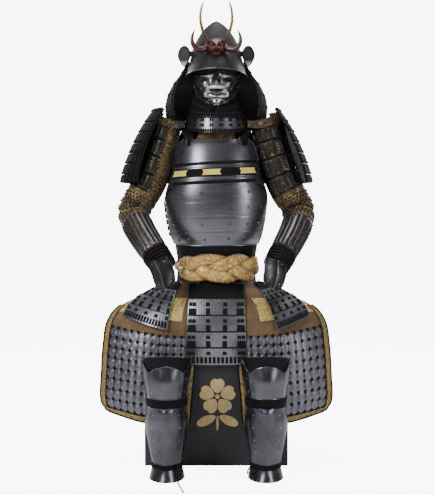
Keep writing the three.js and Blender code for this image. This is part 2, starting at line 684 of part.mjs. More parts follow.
// Gorget: three lames round the neck that rest on the straps, and a brocade collar inside
const gorgetPoint = (a, v) => {
  const deep = Math.cos(a) > 0 ? mix(114, 138, v) : mix(96, 104, v);
  const [x, y] = [mix(106, 115, v) * Math.sin(a), -deep * Math.cos(a)];
  return vec(x, y, mix(1237, 1178 + 32.4 * bell(y, 72), v));
};
add('gorget', fitted(wall({
  us: around(18),
  vs: lameRows(3),
  pointAt: gorgetPoint,
  inside: onAxis,
  high: (a, v) => lameStep(v, 3, 3),
  around: true,
}), solids.shoulder_strap_l, solids.shoulder_strap_r), 'steel');
add('collar', fitted(wall({
  us: spread(-1, 1, 6),
  vs: [0, 0.5, 1],
  pointAt: (u, v) => torsoPoint(u * rad(mix(28, 34, v)), mix(1190, 1124, v), 0).add(vec(0, -0.3, 0)),
  inside: onAxis,
  low: -STEEL - 0.8 - CLOTH,
  high: -STEEL - 0.8,
}), solids.cuirass_front, solids.shoulder_strap_l, solids.shoulder_strap_r), 'brown');

// Throat guard: three laced lames from the chin to the gorget
add('throat_guard', fitted(wall({
  us: spread(-1, 1, 10),
  vs: lameRows(3),
  pointAt: (u, v) => maskPoint(u * 0.93, 1).add(vec(0, 0.5, -0.6))
    .lerp(vec(110.5 * Math.sin(u * rad(80)), -119 * Math.cos(u * rad(80)), 1232 + 2 * u * u), v),
  inside: (p) => vec(0, 0, p.z - 10),
  high: (u, v) => lameStep(v, 3, 3) * clamp(v * 6),
}), solids.face_mask, solids.gorget), 'lace');

// Waist lacing below the cuirass, and the braided sash over it
const WAIST_OFF = -STEEL - SEAM;
const torsoColumns = [...spread(-90, 90, 16), ...spread(112.5, 247.5, 6)].map(rad);
add('waist_lacing', lifted((lift) => wall({
  us: torsoColumns,
  vs: [789, 773, 700, WAIST_BOTTOM],
  pointAt: (a, z) => torsoPoint(a, z, -STEEL - lift),
  inside: onAxis,
  low: -CLOTH,
  around: true,
}), solids.cuirass_front, solids.cuirass_back), 'lace');
const SASH = { z: 698, halfHigh: 55, halfThick: 18, backHigh: 20, backThick: 5, lump: 72 };
const sashSide = (a, name, small) => {
  const turned = Math.atan2(Math.sin(a - 0.12), Math.cos(a - 0.12));
  const front = clamp((1.28 - Math.abs(turned)) / 0.42);
  return mix(small, name, front * front * (3 - 2 * front));
};
const sashRings = (lift) => torsoColumns.map((a) => {
  const high = sashSide(a, SASH.halfHigh, SASH.backHigh);
  const thick = sashSide(a, SASH.halfThick, SASH.backThick);
  const along = 150 * a * 2 * Math.PI / SASH.lump;
  return around(8).map((b) => {
    const braid = 1 + 0.14 * Math.cos(along + (Math.sin(b) > 0 ? 0 : Math.PI)) * Math.max(Math.cos(b), 0);
    const flat = Math.sign(Math.cos(b)) * Math.abs(Math.cos(b)) ** 0.7;
    const z = SASH.z + high * Math.sin(b) * (1 - 0.05 * Math.cos(along));
    return torsoPoint(a, z, WAIST_OFF + lift + thick * (1 + flat * braid));
  });
});
function loop(rings) {
  const count = rings[0].length;
  const points = rings.flatMap((ring) => ring.flatMap((p) => [p.x, p.y, p.z]));
  const faces = [];
  rings.forEach((_, j) => {
    const next = (j + 1) % rings.length;
    for (let i = 0; i < count; i += 1) {
      const [a, b] = [j * count + i, j * count + (i + 1) % count];
      const [c, d] = [next * count + (i + 1) % count, next * count + i];
      faces.push(a, b, c, a, c, d);
    }
  });
  return facingOut({ points, faces });
}
add('belt', lifted((lift) => loop(sashRings(lift - 1.8)), solids.waist_lacing), 'belt');

// Sleeves and the plates on them, built for one side at a time
ARM.forEach((row, k) => Object.assign(row, { v: k / (ARM.length - 1) }));
const armCentre = (v, side) => vec(read(ARM, 'v', 'x', v) + side * 12 * clamp((v - 0.6) / 0.4),
  read(ARM, 'v', 'y', v), read(ARM, 'v', 'z', v));
const armPoint = (side) => (u, v) => {
  const along = armCentre(Math.min(v + 0.02, 1), side).sub(armCentre(Math.max(v - 0.02, 0), side)).normalize();
  const fore = vec(0, -1, 0).addScaledVector(along, along.y).normalize();
  const outer = fore.clone().cross(along);
  const towardsBody = Math.min(Math.sin(u), 0) * (10 * bell(v - 0.4, 0.09) + 4 * bell(v - 0.25, 0.1));
  const p = armCentre(v, side)
    .addScaledVector(outer, read(ARM, 'v', 'across', v) * Math.sin(u) + towardsBody)
    .addScaledVector(fore, read(ARM, 'v', 'fore', v) * Math.cos(u));
  p.z += v < 0.12 ? 20 * Math.sin(u) * (1 - v / 0.12) - 12 * (1 - v / 0.12) : 0;
  return vec(side * p.x, p.y, p.z);
};
const elbowFold = (u, v) => 4 * bell(v - 0.58, 0.1) * Math.cos(2 * Math.PI * (v - 0.58) / 0.08);
const insideArm = (side) => (p) => {
  let best = 0;
  for (let v = 0; v <= 1.0001; v += 0.05) {
    const c = armCentre(v, side);
    const d = armCentre(best, side);
    const apart = (q) => Math.hypot(side * p.x - q.x, p.y - q.y, p.z - q.z);
    if (apart(c) < apart(d)) best = v;
  }
  const c = armCentre(best, side);
  return vec(side * c.x, c.y, c.z);
};
const HAND = [
  { v: 0, x: 208, y: -247, z: 730, half: 33 },
  { v: 0.35, x: 198, y: -261, z: 700, half: 37 },
  { v: 0.7, x: 190, y: -268, z: 666, half: 36 },
  { v: 1, x: 184, y: -270, z: 637, half: 30 },
];
for (const side of [1, -1]) {
  const tag = side > 0 ? 'r' : 'l';
  const strap = solids[`shoulder_strap_${tag}`];
  const surface = { pointAt: armPoint(side), inside: insideArm(side) };
  const sleeve = add(`sleeve_${tag}`, fitted(wall({
    ...surface,
    us: around(12),
    vs: [0, 0.12, 0.26, 0.42, 0.5, 0.54, 0.58, 0.62, 0.66, 0.8, 1],
    low: -CLOTH,
    high: elbowFold,
    around: true,
  }), strap, solids.gorget), 'brocade');
  const turn = side > 0 ? [-70, 110] : [-14, 150];
  const ribs = (count, from, to) => (u) => {
    const place = (u - rad(from)) / rad(to - from) * count;
    return 1.3 + 2.2 * Math.abs(Math.sin(Math.PI * place));
  };
  const upperRib = ribs(5, turn[0], turn[1]);
  add(`upper_arm_guard_${tag}`, lifted((lift) => wall({
    ...surface,
    us: spread(rad(turn[0]), rad(turn[1]), 10),
    vs: [0.09, 0.165, 0.175, 0.25, 0.26, 0.345, 0.355, 0.43],
    low: lift,
    high: (u, v) => lift + upperRib(u) + 1.6 * (1 - ((v - 0.085) / 0.088 % 1)),
  }), sleeve), 'dark');
  const lowerRib = ribs(8, -100, 100);
  add(`forearm_guard_${tag}`, lifted((lift) => wall({
    ...surface,
    us: spread(rad(-100), rad(100), 16),
    vs: [0.7, 0.77, 0.84, 0.915],
    low: lift,
    high: (u) => lift + lowerRib(u),
  }), sleeve), 'steel');
  const band = add(`wrist_band_${tag}`, lifted((lift) => wall({
    ...surface,
    us: around(12),
    vs: [0.925, 0.998],
    low: lift,
    high: lift + 3.4,
    around: true,
  }), sleeve), 'lace');
  add(`hand_guard_${tag}`, fitted(wall({
    us: [-1, -0.9, -0.5, 0, 0.5, 0.9, 1],
    vs: [0, 0.25, 0.5, 0.75, 0.95, 1],
    pointAt: (u, v) => {
      const x = read(HAND, 'v', 'x', v) + side * 10 * clamp(v * 2) + u * read(HAND, 'v', 'half', v);
      return vec(side * x, read(HAND, 'v', 'y', v) + 12 * u * u, read(HAND, 'v', 'z', v) - 9 * u);
    },
    inside: (p) => vec(p.x, p.y + 60, p.z + 8),
    low: -2.5,
    high: (u, v) => (Math.abs(u) > 0.85 || v > 0.9 ? 1.6 : 0),
  }), band, sleeve), 'dark');
  // Shoulder guard: seven laced lames over the outer side of the upper arm
  const curl = side > 0 ? [22, 28] : [46, 68];
  add(`shoulder_guard_${tag}`, fitted(wall({
    us: [-1, -0.7, -0.35, 0, 0.35, 0.7, 1],
    vs: lameRows(SODE_LAMES),
    pointAt: (u, v) => vec(side * (read(SODE, 'v', 'x', v) - (u < 0 ? mix(curl[0], curl[1], v) : 34) * u * u),
      94 * u + 4, read(SODE, 'v', 'z', v)),
    inside: (p) => vec(side * 150, 0, p.z - 60),
    low: -3,
    high: (u, v) => lameStep(v, SODE_LAMES),
  }), sleeve, solids[`upper_arm_guard_${tag}`]), 'lace');
}

// Thigh guards: brocade aprons from the waist over the front of the chest
const thighPoint = (u, v) => {
  const x = mix(read(THIGH, 'v', 'innerX', v), read(THIGH, 'v', 'outerX', v), u);
  const y = mix(read(THIGH, 'v', 'innerY', v), read(THIGH, 'v', 'outerY', v), u)
    - read(THIGH, 'v', 'belly', v) * Math.sin(Math.PI * clamp(u) ** 1.15);
  const z = mix(read(THIGH, 'v', 'innerZ', v), read(THIGH, 'v', 'outerZ', v), u) - 14 * v * bell(u - 0.45, 0.4);
  const hung = clamp(v / 0.1);
  const top = torsoPoint(rad(mix(20, 62, u)), 645 - 300 * v, WAIST_OFF - 0.9 + CLOTH);
  return top.lerp(vec(x, y, z), hung * hung * (3 - 2 * hung));
};
const behindThigh = (p) => vec(p.x * 0.7, 120, p.z - 60);
const thighCloth = fitted(wall({
  us: spread(0, 1, 10),
  vs: [0, 0.06, 0.12, 0.2, 0.3, 0.42, 0.58, 0.74, 0.88, 1],
  pointAt: thighPoint,
  inside: behindThigh,
  low: -CLOTH,
}), solids.waist_lacing, solids.chest_lid, solids.chest_box);
addPair('thigh_cloth', thighCloth, 'brown');
addPair('thigh_plates', lifted((lift) => wall({
  us: [0.075, 0.2, 0.3, 0.4, 0.5, 0.6, 0.7, 0.8, 0.925],
  vs: spread(0, 1, 5),
  pointAt: (u, v) => thighPoint(u, mix(mix(0.42, 0.35, u), 0.945, v)),
  inside: behindThigh,
  low: lift,
  high: lift + 2,
}), thighCloth), 'steel');
// The border follows the cloth's own rows down the outer edge, along the hem and up the inner edge
const EDGE = { across: 0.05, down: 0.038 };
const borderStations = [
  ...[0.2, 0.3, 0.42, 0.58, 0.74, 0.88, 0.955].map((v) => ({ u: 1, v })),
  ...[0.945, 0.9, 0.8, 0.7, 0.6, 0.5, 0.4, 0.3, 0.2, 0.1, 0.055].map((u) => ({ u, v: 1 })),
  ...[0.955, 0.88, 0.74, 0.58, 0.42, 0.3].map((v) => ({ u: 0, v })),
];
const borderPoint = (s, w) => {
  const k = clamp(Math.floor(s), 0, borderStations.length - 2);
  const [from, to] = [borderStations[k], borderStations[k + 1]];
  const u = mix(from.u, to.u, s - k);
  const v = mix(from.v, to.v, s - k);
  const [a, b] = [0.004 + w * EDGE.across, 0.004 + w * EDGE.down];
  return thighPoint(clamp(u, a, 1 - a), Math.min(v, 1 - b));
};
addPair('thigh_border', lifted((lift) => wall({
  us: borderStations.map((_, k) => k),
  vs: [0, 1],
  pointAt: borderPoint,
  inside: behindThigh,
  low: lift,
  high: lift + 2.2,
}), thighCloth), 'trim');

// Tassets: the front one hangs between the thighs, the side ones lie over them
const tassetTop = (u, from, to, z = 640, layer = CLOTH + 2.8) => torsoPoint(rad(mix(from, to, (u + 1) / 2)), z,
  WAIST_OFF + layer);
add('tasset_front', fitted(wall({
  us: spread(-1, 1, 8),
  vs: lameRows(5),
  pointAt: (u, v) => {
    const top = tassetTop(u, -34, 34);
    const fall = read(TASSET_DROP, 'v', 'y', v) + 9 * u * u;
    const near = clamp(1 - v / 0.14);
    return vec(mix(top.x, 108 * u, v), mix(fall, top.y, near * near * (3 - 2 * near)), mix(640, 363, v));
  },
  inside: (p) => vec(p.x * 0.6, 60, p.z - 30),
  low: -3,
  high: (u, v) => lameStep(v, 5, 5),
}), solids.waist_lacing, solids.belt, thighCloth, solids.thigh_cloth_l, solids.thigh_plates_r, solids.thigh_plates_l), 'steel');
addPair('tasset_side', wall({
  us: spread(-1, 1, 7),
  vs: lameRows(4),
  pointAt: (u, v) => {
    const t = (u + 1) / 2;
    const low = thighPoint(mix(0.29, 0.84, t), mix(0.375, 0.265, t));
    const out = vec(0.35, -0.9, 0.25).multiplyScalar(16);
    return tassetTop(u, 38, 72).lerp(low.add(out), v).addScaledVector(vec(0.2, -0.7, 0.6), 22 * Math.sin(Math.PI * v));
  },
  inside: (p) => vec(p.x * 0.5, 100, p.z - 120),
  low: -3,
  high: (u, v) => lameStep(v, 4, 4.5),
}), 'steel', (tag) => [solids.waist_lacing, solids.belt, solids[`thigh_cloth_${tag}`], solids[`thigh_plates_${tag}`]]);
add('tasset_back', fitted(wall({
  us: spread(-1, 1, 8),
  vs: lameRows(3),
  pointAt: (u, v) => {
    const top = tassetTop(u, 118, 242, 640, 1.2);
    return vec(mix(top.x, -170 * u, v), mix(top.y, 186 - 40 * u * u, v), mix(640, 514, v));
  },
  inside: (p) => vec(p.x * 0.5, -40, p.z - 120),
  low: -3,
  high: (u, v) => lameStep(v, 3, 4),
}), solids.waist_lacing, solids.belt), 'steel');

// Shin guards stand on the floor: shin plate, laced knee lining, winged knee plate, ankle band
const shinPoint = (u, v) => {
  const a = rad(112) * u;
  const z = v;
  const ridge = 5 * bell(u, 0.1) * clamp((260 - z) / 60) * clamp(z / 60);
  return vec(SHIN_PLACE.x + read(SHIN, 'z', 'wide', z) * Math.sin(a),
    SHIN_PLACE.y - (read(SHIN, 'z', 'deep', z) + ridge) * Math.cos(a), z);
};
const shinColumns = [-1, -0.82, -0.66, -0.4, -0.2, 0, 0.2, 0.4, 0.66, 0.82, 1];
const shinAxis = (p) => vec(SHIN_PLACE.x, SHIN_PLACE.y + 10, p.z);
const floor = block(-900, 900, -900, 900, -60, 0, 1, 0);
const shinPlate = without(wall({
  us: shinColumns,
  vs: [247, 215, 180, 140, 100, 56, 36, 20, -4],
  pointAt: shinPoint,
  inside: shinAxis,
  high: (u, v) => (v > 246 || Math.abs(u) > 0.99 ? 1.2 : 0),
}), floor);
addPair('shin_guard', shinPlate, 'steel');
const kneeLining = (lift) => wall({
  us: shinColumns,
  vs: spread(0, 1, 4),
  pointAt: (u, v) => shinPoint(u, mix(read(LINING_TOP, 'u', 'z', Math.abs(u)), 222, v)),
  inside: shinAxis,
  low: -STEEL - lift - CLOTH,
  high: -STEEL - lift,
});
addPair('knee_guard', wall({
  us: shinColumns,
  vs: [0, 0.25, 0.5, 0.75, 1],
  pointAt: (u, v) => shinPoint(u, mix(read(KNEE_TOP, 'u', 'z', Math.abs(u)), 278, v)),
  inside: shinAxis,
  low: -STEEL - 0.6,
  high: (u, v) => 6 * bell(u, 0.22) * bell(v - 0.5, 0.35) + (v > 0.9 ? 1.4 : 0),
}), 'steel');
addPair('knee_lining', lifted(kneeLining, shinPlate, solids.knee_guard_r), 'lace');
addPair('ankle_band', lifted((lift) => wall({
  us: shinColumns,
  vs: [56, 37],
  pointAt: shinPoint,
  inside: shinAxis,
  low: lift,
  high: lift + 2.8,
}), shinPlate), 'lace');

// Loose ends of the shin ties
const CORD_RADIUS = 2.6;
const cord = (line) => rod(line.map(([x, y, z]) => ({ x, y, z, across: CORD_RADIUS, fore: CORD_RADIUS })), 6);
add('tie_cord_l', fitted(cord([[-131, -403, 46], [-130, -414, 34], [-128, -430, 16], [-126, -448, 4.5],
  [-121, -480, 3.2], [-113, -520, 3.2], [-106, -556, 3.2]]), solids.shin_guard_l, solids.ankle_band_l), 'lace');
add('tie_cord_r', fitted(cord([[122, -390, 49], [114, -394, 44], [107, -396, 35], [104, -396, 22]]),
  solids.shin_guard_r, solids.ankle_band_r), 'lace');

// The finished object, its origin at the middle of the bottom of its bounding box
const box = new THREE.Box3();
for (const [name, solid] of Object.entries(solids)) {
  if (name.startsWith('tie_cord')) continue;
  for (let i = 0; i < solid.points.length; i += 3) box.expandByPoint(vec(...solid.points.slice(i, i + 3)));
}
const middle = box.getCenter(vec(0, 0, 0));
const armour = new THREE.Group();
armour.name = 'samurai_armour';
for (const [name, solid] of Object.entries(solids)) {
  const shifted = solid.points.map((value, i) => value - [middle.x, middle.y, box.min.z][i % 3]);
  const raw = new THREE.BufferGeometry();
  raw.setAttribute('position', new THREE.Float32BufferAttribute(shifted, 3));
  raw.setIndex(solid.faces);
  const geometry = mergeVertices(raw, 1e-3);
  geometry.computeVertexNormals();
  const mesh = new THREE.Mesh(geometry, new THREE.MeshStandardMaterial(COLOURS[looks[name]]));
  mesh.name = name;
  armour.add(mesh);
}

export default armour;
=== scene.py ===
# %% [markdown]
# A suit of samurai armour seated on its storage chest, dressed in Blender over a fixed frame.
# The frame holds every solid where the maker's drawing puts it. This lesson gives each solid
# its real surface: laced lames, satin steel, brocade, braid and lacquer.

# %% Load the frame
import bmesh
import bpy
from math import atan2, copysign, cos, exp, pi, radians, sin, sqrt
from mathutils import Matrix, Vector


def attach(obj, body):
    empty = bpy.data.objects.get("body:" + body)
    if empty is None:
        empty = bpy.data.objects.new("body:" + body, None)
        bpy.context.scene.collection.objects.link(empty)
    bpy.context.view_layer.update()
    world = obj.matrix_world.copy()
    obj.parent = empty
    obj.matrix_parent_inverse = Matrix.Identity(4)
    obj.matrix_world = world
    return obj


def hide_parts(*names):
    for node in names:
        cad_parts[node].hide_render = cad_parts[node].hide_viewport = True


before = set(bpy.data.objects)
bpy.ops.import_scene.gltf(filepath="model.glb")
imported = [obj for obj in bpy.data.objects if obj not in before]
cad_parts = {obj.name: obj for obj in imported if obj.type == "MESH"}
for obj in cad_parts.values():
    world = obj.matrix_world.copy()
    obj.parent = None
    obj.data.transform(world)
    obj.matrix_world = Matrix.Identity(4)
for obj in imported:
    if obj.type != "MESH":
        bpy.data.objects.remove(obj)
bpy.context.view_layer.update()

# %% [markdown]
# The drawing is in millimetres and its middle lies 122 mm in front of the frame's middle.
# One function turns drawing points into frame points, so each size below can be read
# against the drawing. A second one reads a smooth curve through a short table of sizes. The
# viewer's right is the side with the tag r.

# %% Drawing points and smooth tables
MM = 0.001
FORWARD = 121.98
SIDES = (("r", 1), ("l", -1))


def place(x, y, z):
    return Vector((x * MM, (y + FORWARD) * MM, z * MM))


def mix(a, b, t):
    return a + (b - a) * t


def clamp(t, low=0.0, high=1.0):
    return max(low, min(high, t))


def ease(t):
    t = clamp(t)
    return t * t * (3 - 2 * t)


def bell(distance, width):
    return exp(-(distance / width) ** 2)


def arch(t, power=1.0):
    return sin(pi * t) ** power


def read(rows, column, at):
    last = len(rows) - 1
    i = 0
    while i < last - 1 and rows[i + 1][0] <= at:
        i += 1
    step = rows[i + 1][0] - rows[i][0]
    t = clamp((at - rows[i][0]) / step)
    slopes = []
    for j in (i, i + 1):
        a, b = rows[max(j - 1, 0)], rows[min(j + 1, last)]
        slopes.append((b[column] - a[column]) / (b[0] - a[0]))
    start, end = rows[i][column], rows[i + 1][column]
    return ((2 * t ** 3 - 3 * t ** 2 + 1) * start + (t ** 3 - 2 * t ** 2 + t) * step * slopes[0]
            + (3 * t ** 2 - 2 * t ** 3) * end + (t ** 3 - t ** 2) * step * slopes[1])


# %% [markdown]
# The camera stands 3.66 m in front at the height of the belly and looks down by about two
# degrees. It turns instead of shifting, so other views stay centred. The floor is plain and
# pale. The lights are large soft boxes: one bright from the left, one weaker from the right,
# one above and two behind. Floor and surround look brighter to the camera than they light.

# %% Camera and lights


def show(thing):
    bpy.context.scene.collection.objects.link(thing)


SENSOR_HIGH = 24
PHOTO_HIGH = 495
FOCAL_LENGTH = 1020
CAMERA_SPOT = (0, -3.658, 0.915)
TILT_DOWN = 2.3
TURN_RIGHT = 0.067
BACKDROP_GLOW = 8.0

view = bpy.data.cameras.new("camera")
view.sensor_fit = "VERTICAL"
view.sensor_height = SENSOR_HIGH
view.lens = SENSOR_HIGH * FOCAL_LENGTH / PHOTO_HIGH
camera = bpy.data.objects.new("camera", view)
camera.location = CAMERA_SPOT
camera.rotation_euler = (radians(90 - TILT_DOWN), 0, radians(-TURN_RIGHT))
show(camera)
bpy.context.scene.camera = camera


def soft_box(name, spot, target, size, power):
    lamp = bpy.data.lights.new(name, "AREA")
    lamp.shape = "RECTANGLE"
    lamp.size, lamp.size_y = size
    lamp.energy = power
    holder = bpy.data.objects.new(name, lamp)
    holder.location = spot
    aim = Vector(target) - Vector(spot)
    holder.rotation_euler = aim.to_track_quat("-Z", "Y").to_euler()
    show(holder)


soft_box("key_light", (-2.0, -2.4, 2.5), (0, 0, 0.95), (1.0, 1.8), 105)
soft_box("fill_light", (2.6, -2.2, 1.5), (0, 0, 0.8), (0.9, 2.0), 42)
soft_box("top_light", (0.2, 0.2, 3.4), (0, 0, 0.8), (1.8, 1.8), 50)
soft_box("back_light_l", (-1.9, 2.2, 1.8), (0, 0, 0.9), (0.9, 2.0), 45)
soft_box("back_light_r", (1.9, 2.2, 1.8), (0, 0, 0.9), (0.9, 2.0), 45)

# %% [markdown]
# Colours are written as the hex values a colour picker shows, and turned to linear light
# by one function. One small function adds a node, with its settings and its links, to a
# material. A few more name the nodes that every finish uses, so that each finish below
# reads as a short recipe.

# %% Colours and nodes


def linear(code):
    parts = [int(code[k:k + 2], 16) / 255 for k in (1, 3, 5)]
    return tuple(c / 12.92 if c <= 0.04045 else ((c + 0.055) / 1.055) ** 2.4 for c in parts) + (1.0,)


def node(tree, kind, settings=None, inputs=None, out=0):
    made = tree.nodes.new("ShaderNode" + kind)
    for name, value in (settings or {}).items():
        setattr(made, name, value)
    for name, value in (inputs or {}).items():
        if isinstance(value, bpy.types.NodeSocket):
            tree.links.new(value, made.inputs[name])
        else:
            made.inputs[name].default_value = value
    return made.outputs[out]


def join(tree, socket, shader, name):
    tree.links.new(socket, shader.inputs[name])


def spot_of(tree, kind="Object"):
    return node(tree, "TexCoord", out=kind)


def part_of(tree, vector, axis):
    return node(tree, "SeparateXYZ", inputs={"Vector": vector}, out=axis)


def noise(tree, spot, scale, **more):
    return node(tree, "TexNoise", inputs={"Vector": spot, "Scale": scale, **more})


def maths(tree, operation, *values):
    return node(tree, "Math", {"operation": operation}, dict(enumerate(values)))


def ranged(tree, value, low=0.0, high=1.0, start=0.0, end=1.0):
    return node(tree, "MapRange", inputs={"Value": value, "From Min": low, "From Max": high,
                                          "To Min": start, "To Max": end})


def blend(tree, amount, first, second, kind="MIX"):
    first, second = (linear(shade) if isinstance(shade, str) else shade for shade in (first, second))
    return node(tree, "Mix", {"data_type": "RGBA", "blend_type": kind}, {0: amount, 6: first, 7: second}, 2)


def bump(tree, shader, height, strength, deep):
    relief = node(tree, "Bump", inputs={"Height": height, "Strength": strength, "Distance": deep})
    join(tree, relief, shader, "Normal")


def finish_named(name, roughness, metallic=0.0, **sockets):
    material = bpy.data.materials.new(name)
    material.use_nodes = True
    shader = material.node_tree.nodes["Principled BSDF"]
    shader.inputs["Metallic"].default_value = metallic
    shader.inputs["Roughness"].default_value = roughness
    for socket, value in sockets.items():
        shader.inputs[socket.replace("_", " ")].default_value = value
    return material, material.node_tree, shader


def graded_copy(finish, name, low, high, foot, head=None):
    material = finish.copy()
    material.name = name
    tree = material.node_tree
    shader = tree.nodes["Principled BSDF"]
    head = head or shader.inputs["Base Color"].links[0].from_socket
    rise = ranged(tree, part_of(tree, spot_of(tree), "Z"), low, high)
    join(tree, blend(tree, rise, foot, head), shader, "Base Color")
    return material, tree, shader, rise


# %% Floor and surround
floor_paint, tree, shader = finish_named("floor_matt_paint", roughness=0.9)
speck = noise(tree, spot_of(tree), 3.0)
join(tree, blend(tree, speck, "#f6f6f5", "#fbfbfa"), shader, "Base Color")
shader.inputs["Emission Color"].default_value = linear("#ffffff")
seen = node(tree, "LightPath", out="Is Camera Ray")
join(tree, maths(tree, "MULTIPLY", seen, BACKDROP_GLOW), shader, "Emission Strength")
bm = bmesh.new()
bmesh.ops.create_grid(bm, x_segments=1, y_segments=1, size=14)
floor_mesh = bpy.data.meshes.new("floor")
bm.to_mesh(floor_mesh)
bm.free()
floor_mesh.materials.append(floor_paint)
floor = bpy.data.objects.new("floor", floor_mesh)
show(floor)

sky = bpy.data.worlds.new("studio")
bpy.context.scene.world = sky
sky.use_nodes = True
tree = sky.node_tree
surround = tree.nodes["Background"]
seen = node(tree, "LightPath", out="Is Camera Ray")
join(tree, blend(tree, seen, "#74767a", "#ffffff"), surround, "Color")
join(tree, ranged(tree, seen, 0.0, 1.0, 1.0, BACKDROP_GLOW), surround, "Strength")

# %% [markdown]
# The steel of the breastplate and shin guards is darkened and rubbed with fine abrasive,
# round the body on the breastplate and along the leg on the shin guards. The rubbing leaves
# fine lines, which stretch the highlights. They are really a tenth of a millimetre wide and
# are drawn at about 1.5 mm to show.

# %% Satin steel


def rubbed_steel(name, light, dark, along, roughness):
    material, tree, shader = finish_named(name, metallic=0.92, roughness=roughness)
    spot = spot_of(tree)
    lines = noise(tree, node(tree, "Mapping", inputs={"Vector": spot, "Scale": along}), 1.0, Detail=4.0)
    clouds = noise(tree, spot, 7.0, Detail=3.0)
    shade = blend(tree, ranged(tree, clouds, 0.3, 0.7), dark, light)
    streak = ranged(tree, lines, 0.3, 0.7, 0.86, 1.0)
    join(tree, blend(tree, 1.0, shade, streak, "MULTIPLY"), shader, "Base Color")
    join(tree, ranged(tree, lines, 0.3, 0.7, roughness - 0.05, roughness + 0.08), shader, "Roughness")
    bump(tree, shader, lines, 0.12, 0.0004)
    return material


steel = rubbed_steel("satin_rubbed_steel", "#85848b", "#626168", (14, 14, 650), 0.31)
bright_steel = rubbed_steel("burnished_steel", "#a3a3a9", "#77777d", (40, 40, 420), 0.3)
shin_steel = rubbed_steel("satin_shin_steel", "#6b6a72", "#47464d", (120, 120, 12), 0.25)
splint_steel = rubbed_steel("blackened_splint_steel", "#747276", "#403e42", (120, 120, 120), 0.3)

# %% [markdown]
# The helmet and hand plates are iron with a dark russet lacquer, fine-grained like leather.
# The mask is the same iron burnished until it mirrors the room. Lacquer work, the crest and
# the chest, is a clear hard film over colour, which a coat over the base gives.

# %% Dark iron, mask iron and lacquer


def grained(name, light, dark, metallic, roughness, grain, relief, **sockets):
    material, tree, shader = finish_named(name, metallic=metallic, roughness=roughness, **sockets)
    spot = spot_of(tree)
    grit = noise(tree, spot, grain, Detail=5.0, Roughness=0.6)
    wide = noise(tree, spot, 16.0, Detail=2.0)
    both = maths(tree, "ADD", maths(tree, "MULTIPLY", grit, 0.6), maths(tree, "MULTIPLY", wide, 0.4))
    tone = ranged(tree, both, 0.36, 0.64)
    join(tree, blend(tree, tone, dark, light), shader, "Base Color")
    join(tree, ranged(tree, tone, 0.0, 1.0, roughness + 0.08, roughness - 0.04), shader, "Roughness")
    bump(tree, shader, grit, relief, 0.0006)
    return material


russet_iron = grained("russet_lacquered_iron", "#2c2725", "#161413", 0.2, 0.62, 420.0, 0.35)
visor_iron = grained("blued_visor_iron", "#252427", "#121113", 0.3, 0.52, 260.0, 0.1)
mask_iron = grained("burnished_mask_iron", "#aaaaaf", "#7c7c82", 0.95, 0.25, 90.0, 0.03)
silvered = grained("silvered_lip", "#f0f0ea", "#c9c9c2", 0.5, 0.4, 300.0, 0.1)
red_lacquer = grained("dark_red_lacquer", "#4c0f0b", "#230706", 0.0, 0.4, 90.0, 0.12, Coat_Weight=0.35,
                      Coat_Roughness=0.22)
gilt = grained("worn_gilt_horn", "#c9ac68", "#7a5c2c", 0.85, 0.32, 120.0, 0.12)
chest_lacquer = grained("matt_black_chest_lacquer", "#26262a", "#1b1b1e", 0.0, 0.55, 300.0, 0.12,
                        Coat_Weight=0.15, Coat_Roughness=0.4)
stand_wood = grained("stained_stand_wood", "#3a2c20", "#241a13", 0.0, 0.55, 60.0, 0.2)
hand_iron = grained("bevelled_hand_iron", "#454448", "#232225", 0.8, 0.34, 200.0, 0.15)

# %% [markdown]
# The lacing is flat black silk braid about 8 mm wide. Its threads cross in a chevron, which
# a wave in the braid's own coordinates draws at 3 mm. The yellow silk has a soft sheen.

# %% Silk lacing


def braid(name, light, dark, threads, roughness, sheen, gloss):
    material, tree, shader = finish_named(name, roughness=roughness, Sheen_Weight=sheen, Sheen_Roughness=0.4,
                                          Specular_IOR_Level=gloss)
    spot = spot_of(tree, "UV")
    fold = maths(tree, "PINGPONG", part_of(tree, spot, "X"), 0.5)
    slant = maths(tree, "ADD", fold, part_of(tree, spot, "Y"))
    ply = maths(tree, "SINE", maths(tree, "MULTIPLY", slant, threads * 2 * pi))
    tone = ranged(tree, ply, -1.0)
    join(tree, blend(tree, tone, dark, light), shader, "Base Color")
    bump(tree, shader, tone, 0.5, 0.0008)
    return material


black_silk = braid("black_silk_braid", "#0e0e11", "#040405", 3.0, 0.72, 0.0, 0.22)
yellow_silk = braid("pale_yellow_silk_braid", "#f4e56c", "#d2b944", 3.0, 0.55, 0.3, 0.5)

# %% [markdown]
# Brocade is a brown silk ground with a pattern of flat gold thread floating over it. Scrolls
# a few centimetres across come from distorted noise cut into bands. The weave is really two
# threads to the millimetre and is drawn at about 5 mm to show. Gold threads are shinier than
# the ground, so the pattern also drives metal and roughness. On the sash, which is a braid
# of rolls, painted shade darkens each roll on its sides and on the half turned in towards
# the body, down into the creases.

# %% Brocade
FIGURE_BAND = 0.09
WEAVE = 500.0 / 6.3


